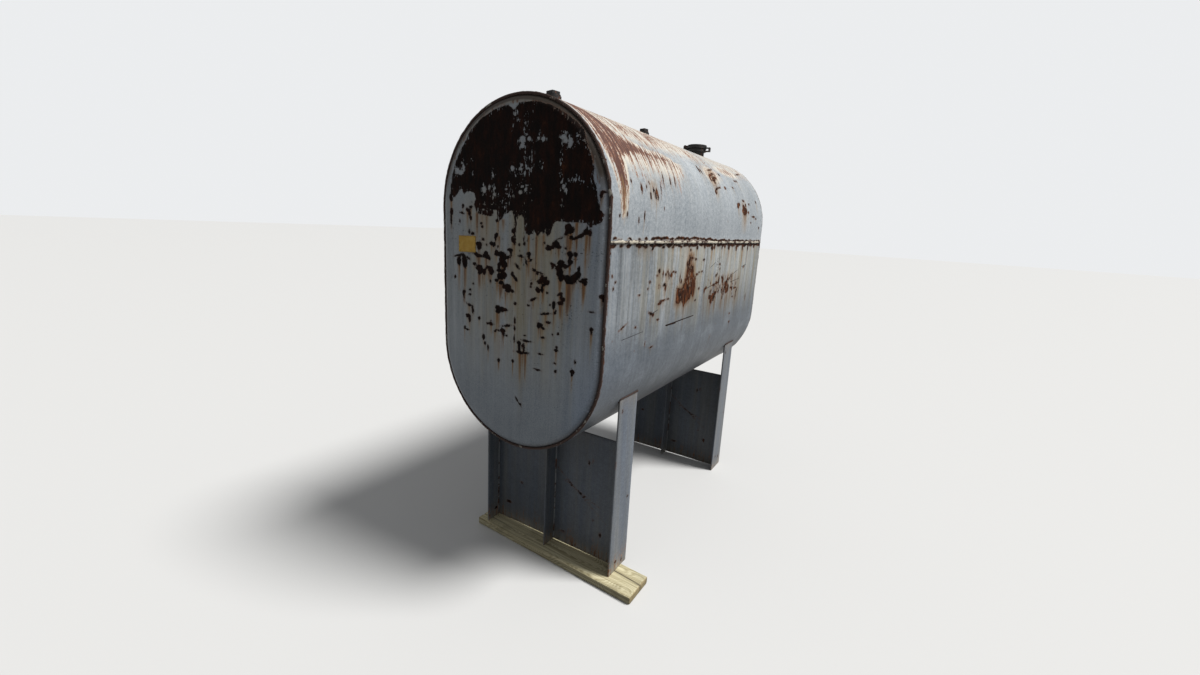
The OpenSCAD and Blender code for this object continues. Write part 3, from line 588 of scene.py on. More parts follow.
def old_timber(name):
    """Grey-yellow softwood: long grain, splits and dark ends."""
    s = Shade(name)
    board = s.value("board", "Vector")
    wander = s.streaks(board, (1.6, 5, 5), 2, 0.5)
    rings = s.add(s.times(wander, 5.0), s.node("ShaderNodeSeparateXYZ", {0: board}, "Y"))
    fine = s.streaks(board, (3, 190, 190), 4, 0.65, 0.4)
    coarse = s.streaks(board, (1.3, 46, 46), 3, 0.6, 0.8)
    tone = s.add(s.times(fine, 0.5), s.times(coarse, 0.42), s.times(s.do("SINE", s.times(rings, 90.0)), 0.05))
    wood = s.ramp(tone, (0.28, 112, 100, 74), (0.42, 170, 160, 126), (0.54, 205, 197, 164), (0.72, 224, 218, 192))
    wood = s.mix(s.times(s.rise(s.noise(board, 9.0, 4, 0.6), 0.52, 0.72), 0.45), wood, srgb(126, 118, 92))
    wood = s.mix(s.value("end"), wood, s.ramp(s.noise(board, 60, 4, 0.6), (0.3, 96, 80, 54), (0.7, 160, 142, 100)))
    split = s.value("split")
    height = s.add(s.times(fine, 0.0012), s.times(coarse, 0.0010), s.times(split, -0.0030))
    return s.finish(s.mix(split, wood, srgb(38, 28, 18)), 0.82, height)


def faded_yellow(name):
    """A blank sticker, sun-bleached, with rust-stained edges."""
    s = Shade(name)
    p = s.place()
    yellow = s.ramp(s.noise(p, 38, 4, 0.6), (0.25, 182, 138, 44), (0.5, 200, 158, 58), (0.8, 212, 180, 92))
    stain = s.rise(s.add(s.noise(p, 130, 5, 0.65), s.times(s.value("edge"), 0.22)), 0.58, 0.72)
    colour = s.mix(s.times(stain, 0.6), yellow, srgb(122, 92, 46))
    return s.finish(colour, 0.55, s.times(s.noise(p, 160, 3), 0.0002))


tank_paint = weathered_paint("tank_paint", (192, 196, 198), (162, 168, 172), (118, 126, 133))
# The supports' grey is darker than the tank's, partly as painted shade for the shade they stand in under the tank.
leg_paint = weathered_paint("support_paint", (116, 123, 130), (94, 101, 109), (72, 79, 88), 0.4)
# The seam bead's pale cream crest is partly a painted highlight.
seam_paint = bead_metal("weld_seam", 0.26, (218, 211, 194), (164, 155, 138))
edge_paint = bead_metal("weld_edge", 0.48, (190, 185, 172), (104, 102, 96), (54, 39, 32))
rusty_bead = bead_metal("weld_rusty", 0.64, (134, 131, 122), (86, 86, 84), (72, 48, 36))
support_bead = bead_metal("weld_support", 0.22, (122, 126, 130), (90, 94, 98))
fitting_black = black_iron("fitting_black", 0.6)
pin_black = black_iron("pin_rusty", 0.9)
inside_steel = bare_inside("bare_inside")
timber_old = old_timber("timber_old")
sticker_yellow = faded_yellow("sticker_yellow")


# ---------------------------------------------------------------- shell

def girth(g, r):
    """x from the tank's middle and height above mid-height, at distance g along the girth from the right side."""
    g = np.mod(np.asarray(g, float) + QUARTER, 4 * QUARTER) - QUARTER    # -QUARTER .. 3 QUARTER
    left = g > QUARTER
    s = np.where(left, 2 * QUARTER - g, g)                               # height along the side, both sides
    t = np.where(s > SPINE, (s - SPINE) / R, np.where(s < -SPINE, (s + SPINE) / R, 0.0))
    x = r * np.cos(t)
    z = np.clip(s, -SPINE, SPINE) + r * np.sin(t)
    return np.where(left, -x, x), z, s, left


# Groups of small dashes on the side: strength, place, half length and half height in metres.
CLUSTERS = [(1.0, 1.40, -0.060, 0.33, 0.075), (0.9, 0.52, 0.03, 0.09, 0.06), (0.85, 0.365, 0.425, 0.055, 0.045),
            (0.85, 1.70, 0.415, 0.075, 0.050), (0.85, 1.23, 0.575, 0.070, 0.065)]


def sheet_values(y, s, left):
    """Where the shell is chipped and stained, and where painted shade and painted bluish sky light fall on it. The left
    side has the right side's marks, run from back to front.
    """
    a = np.where(left, LENGTH - y, y)
    ruffle = lumps(np.c_[a, s, 3.0 * left], 0.030, 14)
    crumbs = lumps(np.c_[a, s, 8.0 + left], 0.013, 17)
    dashes = lumps(np.c_[a * 2.2, s * 0.8, 8.0 + left], 0.026, 27)
    # Chips, the plate's ragged ends, the scab and the groups of dashes.
    ends = 0.0030 + 0.0045 * crumbs + 0.0025 * ruffle - np.minimum(y, LENGTH - y)
    scab = field(a, s, SCAB)
    solid = 0.0022 * np.clip((0.04 - s) / 0.05, -1.3, 1)
    scabbed = np.minimum(scab, 0.004) * 0.9 + 0.0050 * crumbs + 0.0058 * dashes + solid - 0.0022
    cluster = np.maximum.reduce([strong * hump(a, at, long, 4) * hump(s, up, tall, 4)
                                 for strong, at, up, long, tall in CLUSTERS])
    dashed = 0.0090 * dashes + 0.0050 * crumbs + 0.0040 * ruffle - 0.0034 - 0.012 * (1 - cluster)
    # Rusty lines along the side seam, heavier toward the back, and a scab that creeps up from it in the middle. The
    # line just under the seam is also the bead's shadow, painted as dark rust.
    below = hump(s, SEAM - 0.014 - 0.003 * ruffle, 0.008) * np.clip(0.52 + a * 0.36 + 0.5 * ruffle, 0, 1)
    lift = 0.0105 + 0.008 * hump(a, 0.75, 0.4) + 0.006 * ruffle
    above = hump(s, SEAM + lift, 0.0055) * np.clip(a * 1.6 + 0.05 + 0.7 * ruffle, 0, 1) * np.clip(2.4 - a, 0.6, 1)
    seamed = np.maximum(below, above * (1 + 0.25 * dashes)) * (0.021 + 0.017 * crumbs) - 0.0088
    between = (s > SEAM) * np.clip(1.6 - (s - SEAM) / lift, 0, 1) * np.clip(a * 2 - 0.3, 0, 1)
    depth = np.maximum.reduce([spots(a, s, SHELL_CHIPS) * (1 + 0.25 * crumbs), spots(a, s, SEAM_CHIPS), ends, scabbed,
                               dashed, seamed])
    comb = 0.5 + 0.5 * lumps(np.c_[a, s * 0.08, 12.0 + left], 0.016, 33)
    hung = np.maximum(0.8 * cluster, hump(a, 1.40, 0.32, 4) * hump(s, -0.12, 0.10, 4))
    drip = np.maximum.reduce([
        runs(a, s, SHELL_RUNS + short_runs(SHELL_CHIPS, 4.5, 0.5) + short_runs(SEAM_CHIPS, 4.5, 0.6)),
        0.8 * np.maximum(below, above), 0.45 * between, 0.95 * hung * comb ** 1.5,
        0.75 * np.clip(scab / 0.04 + 1, 0, 1)])
    # Streaks hang below the film, and thin pink ones cover the crown.
    film = np.clip(field(a, s, FILM) / 0.05 + 0.78 - 0.33 * slope(a, 0.14, 0.26) - 0.44 * slope(s, 0.61, -0.24), 0, 1)
    hang = np.exp(-np.clip(0.57 - s, 0, 9) / 0.055) * (s < 0.6) * slope(a, 0.82, -0.15) * slope(a, 0.1, 0.05)
    crown = slope(s, 0.62, 0.10) * np.clip(1.75 - a, 0.45, 1) * np.clip((a - 0.02) / 0.08, 0.2, 1)
    pink = (0.36 + 0.16 * lumps(np.c_[a, s, 5.0 + left], 0.16, 21)) * crown
    far = np.maximum(hump(s, 0.60, 0.05) * hump(a, 1.24, 0.12), hump(s, 0.675, 0.035) * hump(a, 1.62, 0.22))
    film = np.maximum.reduce([film, 0.55 * hang, pink, 0.54 * far]) * slope(a, 0, 0.03)
    stain = slope(s, SEAM, -0.03) * slope(s, -0.34, 0.2) * np.clip(a / 0.5 + 0.15, 0, 1) * 0.95
    # Darker toward the bottom of the side: painted shade. Darker also below the seam toward the front.
    grime_and_shade = np.maximum(slope(s, 0.08, -0.35) ** 1.1, 0.55 * (s < SEAM) * slope(a, 0.60, -0.40))
    wear = 0.35 + 0.4 * slope(s, 0.2, 0.5) - grime_and_shade + 0.75 * hump(a, 1.05, 0.75, 4) * hump(s, -0.02, 0.18, 4)
    # Painted bluish sky light: more below the seam, most toward the front and low down.
    sky_tint = np.where(s > SEAM, 0.12, 0.32 - 0.22 * slope(a, 0, 0.6) + 0.2 * slope(s, -0.1, -0.2))
    # Under the flat side the belly is darkened further, as painted shade.
    return dict(depth=depth, drip=drip, film=film, stain=np.maximum(stain, 0.25 * slope(s, 0.3, 0.3)), grime_and_shade=grime_and_shade,
                wear=np.clip(wear, 0, 1), streak=np.where(s > SEAM, 0.22, 0.32 + 0.82 * slope(s, -0.30, 0.22)),
                sky_tint=sky_tint, fleck=np.zeros(len(y)), soot_and_shade=0.6 * slope(s, -0.46, -0.25),
                deep_and_shaded=np.clip(0.8 * hump(s, SEAM, 0.035), 0, 1))


def shell_plate(name, stretches, step, node):
    """One bent plate. stretches are (from, to, spacing) along the girth."""
    girths = np.concatenate([np.linspace(a, b, round((b - a) / gap), endpoint=False) for a, b, gap in stretches]
                            + [[stretches[-1][1]]])
    nu, nv = len(girths) - 1, round(LENGTH / step)
    g, y = np.meshgrid(girths, np.linspace(0, LENGTH, nv + 1), indexing="ij")
    g, y = g.ravel(), y.ravel()
    x, z, _, _ = girth(g, R)
    # The plates sink a little beside the welded seams and between the heads.
    edge = np.minimum(np.abs(g - girths[0]), np.abs(g - girths[-1]))
    calm = np.clip(np.minimum(y, LENGTH - y) / 0.12, 0, 1)
    soft = np.c_[x, y, z]
    sink = calm * (0.0016 * hump(edge, 0.035, 0.028) + 0.0011 + 0.0011 * lumps(soft, 0.33, 5)
                   + 0.0005 * lumps(soft, 0.12, 9))
    x, z, s, left = girth(g, R - np.maximum(sink, 0))
    xi, zi, _, _ = girth(girths, R - PLATE_T)
    verts = np.r_[rows_of(TANK_X + x, Y_FRONT + y, MID + z), rows_of(TANK_X + xi, Y_FRONT, MID + zi),
                  rows_of(TANK_X + xi, Y_REAR, MID + zi)]
    rows = np.arange(len(g)).reshape(nu + 1, nv + 1)
    first, last = rows[:, 0], rows[:, -1]
    front = np.arange(nu + 1) + len(g)
    rear = front + nu + 1
    faces = grid_faces(rows)
    outside = len(faces)
    faces += quads(first, front) + quads(last, rear) + quads(front, rear)
    faces += [rows[k].tolist() + [int(rear[k]), int(front[k])] for k in (0, -1)]
    values = sheet_values(y, s, left)
    # Toward the crown the two sides share their marks, and meet there.
    over, share = sheet_values(y, s, ~left), slope(s, 0.80, QUARTER - 0.80)
    for key in values:
        if key in ("depth", "drip", "film"):
            values[key] = np.maximum(values[key], share * over[key] + NO_MARK * (1 - share) * (key == "depth"))
        else:
            values[key] = values[key] + 0.5 * share * (over[key] - values[key])
    values["flow"] = np.c_[y, g, 0 * g]
    values = {key: np.concatenate([value, value[first], value[last]]) for key, value in values.items()}
    obj = make_mesh(name, verts, faces, tank_paint, replaces=(node,), values=values, sharp=40)
    obj.data.materials.append(inside_steel)
    marks = np.zeros(len(obj.data.polygons), np.int32)
    marks[outside + 2 * nu:outside + 3 * nu] = 1
    obj.data.polygons.foreach_set("material_index", marks)
    return obj


def cut_round(obj, x, y, z, r, depth):
    """A round hole down through a piece."""
    bm = bmesh.new()
    bmesh.ops.create_cone(bm, cap_ends=True, segments=64, radius1=r, radius2=r, depth=depth,
                          matrix=Matrix.Translation((x, y, z)))
    cutter = bm_object("cutter", bm)
    hole = obj.modifiers.new("hole", "BOOLEAN")
    hole.operation, hole.solver, hole.object = "DIFFERENCE", "EXACT", cutter
    with bpy.context.temp_override(object=obj, active_object=obj, selected_objects=[obj]):
        bpy.ops.object.modifier_apply(modifier="hole")
    bpy.data.objects.remove(cutter)


# The sides that the photo shows are divided most finely, and the belly, which it hides, least.
upper = shell_plate("shell_upper_plate", [(SEAM, QUARTER, 0.0054), (QUARTER, 2 * QUARTER - SEAM, 0.0085)], 0.0056,
                    "shell_upper")
shell_plate("shell_lower_plate", [
    (2 * QUARTER - SEAM, 2 * QUARTER + SPINE, 0.0085), (2 * QUARTER + SPINE, 3 * QUARTER, 0.026),
    (3 * QUARTER, 4 * QUARTER - SPINE - 0.03, 0.018), (4 * QUARTER - SPINE - 0.03, 4 * QUARTER + SEAM, 0.0051)], 0.0053,
    "shell_lower")


def round_place(node):
    """Middle x, middle y and radius of a round upright node."""
    lo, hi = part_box(node)
    return (lo.x + hi.x) / 2, (lo.y + hi.y) / 2, (hi.x - lo.x) / 2


neck_x, neck_y, neck_r = round_place("fill_neck")
HOLE_INSIDE, HOLE_DEPTH = 0.003, 0.1     # the hole for the neck is this much smaller in radius, and this deep
cut_round(upper, neck_x, neck_y, CROWN, neck_r - HOLE_INSIDE, HOLE_DEPTH)


# ---------------------------------------------------------------- heads

def ring(r, straight, arc):
    """An obround ring round the spine, from the foot of its right side."""
    up = np.linspace(-SPINE, SPINE, straight, endpoint=False)
    turn = np.linspace(0, math.pi, arc, endpoint=False)
    x = np.r_[np.full(straight, r), r * np.cos(turn), np.full(straight, -r), -r * np.cos(turn)]
    z = np.r_[up, SPINE + r * np.sin(turn), -up, -SPINE - r * np.sin(turn)]
    return x, z


def head_marks(side, x, z):
    """Depth, drips and depth inside the rust field. The rear head has a smaller field and fewer chips."""
    if side < 0:
        within = field(x, z, RUST_FIELD)
        depth = np.maximum(np.minimum(within, -spots(x, z, PAINT_LEFT)), spots(x, z, HEAD_CHIPS))
        return depth, np.clip(1.2 * runs(x, z, HEAD_RUNS + short_runs(HEAD_CHIPS, 5.0, 0.62)), 0, 1), within
    chips = [(-a * 0.92, b * 0.8 - 40, *rest) for a, b, *rest in HEAD_CHIPS[::2]]
    long_runs = [(-a, b * 0.8 + 10, c, d, 0.7 * e) for a, b, c, d, e in HEAD_RUNS[::2]]
    within = field(x, z, [(-a * 0.96, 180 + b * 0.74) for a, b in RUST_FIELD])
    return np.maximum(within, spots(x, z, chips)), runs(x, z, short_runs(chips, 5.0, 0.45) + long_runs), within


def head(name, node, side, step):
    """One flanged head as a closed plate. side is -1 for the front head and 1 for the rear one."""
    straight, arc = round(2 * SPINE / step), round(math.pi * R / step)
    n = 2 * (straight + arc)
    reach = R - PLATE_T
    flat = reach - KNUCKLE
    bend = PROUD - KNUCKLE
    centre, bends = 0.002, 12    # the smallest ring's distance from the spine, and the rings on the knuckle
    # The section, as (distance from the spine, height of the face): out over the face and back inside it.
    path = [(r, PROUD - FACE_IN) for r in np.linspace(centre, flat, round(flat / step))]
    path += [(flat + KNUCKLE * math.sin(t), bend + KNUCKLE * math.cos(t))
             for t in np.linspace(0, math.pi / 2, bends + 1)[1:]]
    path += [(reach, bend - FLANGE), (reach - PLATE_T, bend - FLANGE)]
    path += [(flat + (KNUCKLE - PLATE_T) * math.sin(t), bend + (KNUCKLE - PLATE_T) * math.cos(t))
             for t in np.linspace(math.pi / 2, 0, 7)]
    path += [(r, PROUD - FACE_IN - FACE_T) for r in np.linspace(flat, centre, 5)[1:]]
    rings = [ring(r, straight, arc) for r, _ in path]
    x, z = (np.concatenate(part) for part in zip(*rings))
    out = np.repeat([out for _, out in path], n)
    half = np.hypot(x, np.maximum(np.abs(z) - SPINE, 0))
    # The flat face is a little dished and uneven.
    calm = slope(half, flat, -0.10) * (out > 0)
    soft = np.c_[x, z, np.full(len(x), side * 3.0)]
    dish = 0.0007 + calm * (0.0011 + 0.0008 * lumps(soft, 0.42, 3) + 0.0003 * lumps(soft, 0.15, 8))
    outside = np.arange(len(x)) < n * (round(flat / step) + bends)
    out = np.where(outside & (half <= flat + 1e-6), out - dish * calm, out)
    y = np.where(side < 0, Y_FRONT - out, Y_REAR + out)
    rows = np.arange(len(path) * n).reshape(len(path), n)
    faces = []
    for k in range(len(path) - 1):
        faces += quads(rows[k], rows[k + 1], closed=True)
    for row in rows[[0, -1]].tolist():
        faces += quads(row[:straight + 1], row[straight + arc:2 * straight + arc + 1][::-1])
        faces += [row[straight:straight + arc + 1], row[2 * straight + arc:] + row[:1]]
    xf = x if side < 0 else -x
    depth, drip, within = head_marks(side, xf, z)
    # The knuckle: brown film and soot along its top. Painted shade darkens it toward the weld and on its lower half,
    # and darkens the head's bottom; painted bluish sky light tints the head's bottom and the part to the right as one
    # faces it.
    edge = np.clip((half - flat) / KNUCKLE, 0, 1)
    grime_and_shade = 0.45 * slope(z, -0.25, -0.4) + 0.5 * slope(half - flat, 0.024, 0.014)
    stain = (0.25 + 0.75 * hump(xf, 0.03, 0.27, 4)) * slope(z, 0.42, -0.1) * slope(z, -0.52, 0.35)
    values = dict(
        depth=depth, drip=drip, film=np.clip(edge * 3, 0, 1) * slope(z, 0.36, 0.2) * 0.30,
        grime_and_shade=np.maximum(grime_and_shade, 0.5 * np.clip(edge * 2, 0, 1) * slope(z, -0.1, -0.4)),
        wear=np.clip(0.50 + (z + 0.35) * 0.6, 0.05, 0.75) * (1 - 0.6 * edge),
        flow=np.c_[xf, z, np.full(len(x), 1.7 if side < 0 else 4.1)],    # each head has noise of its own
        stain=np.maximum(stain, runs(xf, z, HEAD_PALE)),
        sky_tint=np.clip(0.10 + 0.7 * slope(xf, 0.25, 0.12) + 0.25 * slope(z, -0.15, -0.4), 0, 1),
        streak=0.15 + 0.30 * slope(z, 0.3, -0.2) * np.clip((z + 0.6) / 0.4, 0.2, 1), deep_and_shaded=np.ones(len(x)),
        soot_and_shade=np.maximum(np.clip(edge * 2.5, 0, 1) * slope(z, 0.30, 0.15), np.clip(edge * 1.6 - 0.6, 0, 0.9)),
        fleck=np.clip(within / 0.006 + 0.6, 0, 1))
    make_mesh(name, rows_of(TANK_X + x, y, MID + z), faces, tank_paint, replaces=(node,),
              values=values, sharp=50)


head("front_head_plate", "front_head", -1, 0.0055)
head("rear_head_plate", "rear_head", 1, 0.0068)


# ---------------------------------------------------------------- weld beads

def bead(name, paths, node, material, ripple=0.0075, rough=1.0, seed=1):
    """Rippled beads. Each path is (points, out, across, (half width, height), closed)."""
    sides = 8
    verts, faces, rust = [], [], []
    base = 0
    for number, (points, out, across, (half, height), closed) in enumerate(paths):
        out, across = (np.broadcast_to(np.asarray(v, float), points.shape) for v in (out, across))
        steps = np.linalg.norm(np.diff(points, axis=0, append=points[:1] if closed else points[-1:]), axis=1)
        run = np.r_[0, np.cumsum(steps)[:-1]]
        total = run[-1] + (steps[-1] if closed else 0)
        turns = max(1, round(total / ripple))
        phase = run / total * turns * 2 * math.pi + 1.2 * rough * lumps(points, 4 * ripple, seed + 9)
        low = lumps(points, 0.05, seed + number)
        uneven = lumps(points, 0.011, seed + 15) + 0.8 * lumps(points, 0.027, seed + 25)
        size = 1 + rough * (0.045 * (np.abs(np.sin(phase / 2)) * 2 - 1) + 0.09 * low + 0.10 * uneven - 0.03)
        lean = 0.14 * rough * lumps(points, 0.022, seed + 40)
        if not closed:
            size = size * np.clip(np.minimum(run, total - run) / (1.3 * half) + 0.25, 0.25, 1) ** 0.5
        for k in range(sides):
            t = 2 * math.pi * k / sides
            c, s = math.cos(t), math.sin(t)
            verts.append(points + across * ((c + lean) * half * size)[:, None] + out * (s * height * size)[:, None])
            # More rust toward the bead's foot, which also darkens it as painted crevice shade.
            rust.append(0.5 - 0.6 * s + 0.35 * low - 0.28 * uneven)
        n = len(points)
        rows = base + np.arange(n * sides).reshape(sides, n)
        for k in range(sides):
            faces += quads(rows[k], rows[(k + 1) % sides], closed=closed)
        if not closed:
            faces += [rows[:, 0].tolist(), rows[:, -1].tolist()]
        base += n * sides
    make_mesh(name, np.concatenate(verts), faces, material, replaces=(node,),
              values={"rust": np.concatenate(rust)}, sharp=70)


def head_bead(name, node, side):
    """The fillet between a head and the end of the shell."""
    r, step = R - 0.0062, 0.0019
    straight, arc = round(2 * SPINE / step), round(math.pi * r / step)
    x, z = ring(r, straight, arc)
    ox, oz = ring(1.0, straight, arc)
    across = np.c_[ox, 0 * ox, oz - np.clip(oz, -SPINE, SPINE)]
    y = Y_FRONT + 0.0005 if side < 0 else Y_REAR - 0.0005
    bead(name, [(rows_of(TANK_X + x, y, MID + z), (0, side, 0), across, HEAD_BEAD, True)], node, edge_paint,
         rough=1.2, seed=3 + side)


head_bead("front_head_bead", "front_head_weld", -1)
head_bead("rear_head_bead", "rear_head_weld", 1)

for side, node in ((1, "seam_bead_right"), (-1, "seam_bead_left")):
    line = rows_of(TANK_X + side * (R + 0.0004), np.arange(Y_FRONT + 0.002, Y_REAR - 0.002, BEAD_STEP), MID + SEAM)
    bead(node + "_ridge", [(line, (side, 0, 0), (0, 0, 1), SEAM_BEAD, False)], node, seam_paint,
         ripple=0.016, rough=1.8, seed=20 + side)


def fitting_ring(node):
    """The path of a bead round a fitting, over the curve of the crown."""
    x, y, r = round_place(node)
    r += 0.0012
    turn = np.linspace(0, 2 * math.pi, round(2 * math.pi * r / 0.002), endpoint=False)
    dx, dy = r * np.cos(turn), r * np.sin(turn)
    z = CROWN - R + np.sqrt(R ** 2 - dx ** 2)
    return rows_of(x + dx, y + dy, z + 0.0008), (0, 0, 1), rows_of(dx / r, dy / r, 0), FITTING_BEAD, True


bead("fitting_beads", [fitting_ring(node) for node in ("front_coupling", "middle_coupling", "fill_neck")],
     "fitting_welds", edge_paint, seed=31)


# ---------------------------------------------------------------- supports

def belly_at(x):
    """Height of the shell's underside, x metres from its middle."""
    return MID - SPINE - np.sqrt(np.maximum(R ** 2 - x ** 2, 0))


def plate(name, node, step, seed, under_shell=True, wear=0.35, chips=(), grime_and_shade=0.0):
    """A flat plate from its node's box, its edges slightly rounded. Under the shell its top follows the belly."""
    lo, hi = (np.array(v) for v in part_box(node))
    size = hi - lo
    thin = int(np.argmin(size))
    counts = [2 if axis == thin else max(1, round(size[axis] / step)) for axis in range(3)]
    unit, faces = cube_surface(*counts)
    # The outer rows lie close to the edges, so that the rounding is small.
    near_edge, rounding, into_shell = 0.0018, 0.00066, 0.0015
    for axis in range(3):
        if axis != thin:
            first, last = (np.isclose(unit[:, axis], at) for at in (1 / counts[axis], 1 - 1 / counts[axis]))
            unit[first, axis] = near_edge / size[axis]
            unit[last, axis] = 1 - near_edge / size[axis]
    on_side = np.isclose(unit, 0) | np.isclose(unit, 1)
    on_edge = on_side & (on_side.sum(axis=1) >= 2)[:, None]
    p = lo + unit * size + np.where(on_edge, np.sign(0.5 - unit) * rounding, 0.0)
    below = hi[2] - p[:, 2]
    if under_shell:
        belly = belly_at(p[:, 0] - TANK_X)
        share = (p[:, 2] - lo[2]) / size[2]
        p[:, 2] = lo[2] + share * (np.minimum(belly + into_shell, hi[2]) - lo[2])
        below = np.maximum(belly - p[:, 2], 0)
    across = p[:, 1] if thin == 0 else p[:, 0] - TANK_X
    low = np.exp(-(p[:, 2] - lo[2]) / 0.05)
    same = np.ones(len(p))
    # Painted bluish sky light and the darker, partly shaded rust over the whole plate.
    values = dict(
        depth=spots(across, p[:, 2], chips), drip=np.clip(0.16 * np.exp(-below / 0.04) + 0.15 * low, 0, 1),
        film=0.2 * low, stain=0.3 * same, grime_and_shade=grime_and_shade + 0.25 * low, wear=wear * same, streak=0.7 * same,
        sky_tint=0.5 * same, deep_and_shaded=0.6 * same, fleck=0 * same, soot_and_shade=0.3 * low,
        flow=np.c_[across + seed, p[:, 2], p[:, thin] * 3 + seed * 0.37])
    make_mesh(name, p, faces, leg_paint, replaces=(node,), values=values, sharp=35)


# Across the web from the tank's middle and up from the floor.
WEB_CHIPS = [(130, 395, 60, 1.6, -35), (180, 372, 30, 1.4, -20), (-60, 600, 7, 4), (210, 560, 4, 9), (235, 575, 3, 7),
             (-230, 300, 9, 5), (300, 180, 6, 10), (-320, 150, 14, 6), (60, 110, 16, 5), (250, 250, 5, 4)]
# Back from a leg's front edge and up from the floor.
LEG_CHIPS = [(30, 900, 5, 8), (8, 640, 4, 14), (140, 420, 6, 4), (60, 90, 9, 6), (120, 70, 5, 9)]
DIAGONAL = 0.707                         # each part of a direction halfway between two axes

for end, end_seed in (("front", 2), ("rear", 6)):
    for number, hand in enumerate(("right", "left")):
        node = f"{end}_leg_{hand}"
        chips = [(1000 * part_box(node)[0].y + a, *rest) for a, *rest in LEG_CHIPS]
        plate(f"{node}_plate", node, 0.010, seed=end_seed + number, chips=chips)
    # The web and its bar are darker: grime, and painted shade under the tank.
    plate(f"{end}_web_plate", f"{end}_web", 0.010, seed=end_seed + 3, chips=WEB_CHIPS, wear=0.2, grime_and_shade=0.42)
    plate(f"{end}_stiffener_bar", f"{end}_web_stiffener", 0.009, seed=end_seed + 5, under_shell=False, grime_and_shade=0.3)

    # The beads of this support: upright ones where the plates meet, and two beside each leg's top.
    web_lo, web_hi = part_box(f"{end}_web")
    leg_lo, leg_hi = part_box(f"{end}_leg_right")
    bar_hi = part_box(f"{end}_web_stiffener")[1]
    heights = np.arange(web_lo.z + 0.004, web_hi.z - 0.004, BEAD_STEP)
    along = np.arange(leg_lo.y - 0.002, leg_hi.y + 0.002, BEAD_STEP)
    uprights, tops = [], []
    for hand in (-1, 1):
        for x, turn in ((leg_lo.x, -1), (bar_hi.x, 1)):
            line = rows_of(TANK_X + hand * (x - TANK_X), web_lo.y, heights)
            out, across = (turn * hand * DIAGONAL, -DIAGONAL, 0), (hand * DIAGONAL, turn * DIAGONAL, 0)
            uprights.append((line, out, across, WEB_BEAD, False))
        for x, turn in ((leg_lo.x, -1), (leg_hi.x, 1)):
            line = rows_of(TANK_X + hand * (x - TANK_X), along, belly_at(x - TANK_X))
            out, across = (hand * turn * 0.8, 0, -0.6), (hand * turn * 0.6, 0, 0.8)
            tops.append((line, out, across, LEG_BEAD, False))
    bead(f"{end}_web_beads", uprights, f"{end}_web_welds", support_bead, seed=50 + end_seed)
    bead(f"{end}_leg_beads", tops, f"{end}_leg_welds", rusty_bead, rough=1.5, seed=60 + end_seed)


# ---------------------------------------------------------------- timber

def timber():
    """The board: worn edges, nicks and two splits."""
    co = np.array([v.co for v in NODES["front_timber"].data.vertices])
    (x0, _, low), (x1, _, high) = co.min(axis=0), co.max(axis=0)
    y_left = co[co[:, 0] < x0 + 1e-4][:, 1]
    y_right = co[co[:, 0] > x1 - 1e-4][:, 1]
    unit, faces = cube_surface(206, 40, 9)    # about 5 mm apart
    u, _, w = unit.T
    y_near = y_left.min() + u * (y_right.min() - y_left.min())
    # Rounded long edges and ends, by pulling the outer layer back to a smaller box.
    size = np.array([x1 - x0, y_left.max() - y_left.min(), high - low])
    flat = unit * size
    worn = 0.0045 + 0.002 * lumps(flat, 0.07, 4)
    core = np.clip(flat, worn[:, None], size - worn[:, None])
    away = flat - core
    length = np.linalg.norm(away, axis=1)
    flat = core + away / np.maximum(length, 1e-9)[:, None] * np.minimum(length, worn)[:, None]
    on_edge = np.count_nonzero((unit < 0.03) | (unit > 0.97), axis=1) >= 2
    nick = np.clip(lumps(flat, 0.022, 12) - 0.35, 0, 1) * on_edge
    flat = flat + (size / 2 - flat) * (nick * 0.02)[:, None]
    # The long split starts at the right end, a little behind the middle of the width, and a shorter mark at the left.
    left, across, right = flat[:, 0], flat[:, 1], size[0] - flat[:, 0]
    split = hump(across, 0.105 + 0.010 * np.sin(right * 9.0), 0.0030) * slope(right, 0.22, -0.05)
    other = 0.7 * hump(across, 0.045 + 0.006 * np.sin(left * 14.0), 0.0026) * slope(left, 0.30, -0.08)
    z = low + flat[:, 2] - 0.0006 * (w > 0.99) * (0.5 + 0.5 * lumps(flat * [0.15, 1, 1], 0.02, 6))
    end = 0.8 * np.clip(1 - np.minimum(u, 1 - u) / 0.0005, 0, 1)
    values = {"board": flat, "split": np.maximum(split, other), "end": end}
    make_mesh("timber_board", np.c_[x0 + left, y_near + across, z], faces, timber_old,
              replaces=("front_timber",), values=values, sharp=50)


timber()


# ---------------------------------------------------------------- sticker and fittings

def sticker():
    """A blank patch where the real tank has a printed one."""
    width, height, thick, slant = 0.106, 0.073, 0.0042, 0.003
    left, low, behind = -0.339, 0.108, 0.00015    # from the middle of the head's face
    unit, faces = cube_surface(24, 1, 14)
    u, v, w = unit.T
    x = TANK_X + left + u * width
    y = Y_FRONT - PROUD + behind + v * thick
    z = MID + low + w * height + u * slant
    inside = np.minimum(np.minimum(u, 1 - u) * width, np.minimum(w, 1 - w) * height)
    make_mesh("sticker_blank", rows_of(x, y, z), faces, sticker_yellow,
              values={"edge": np.clip(1 - inside / 0.008, 0, 1)}, sharp=35)


sticker()

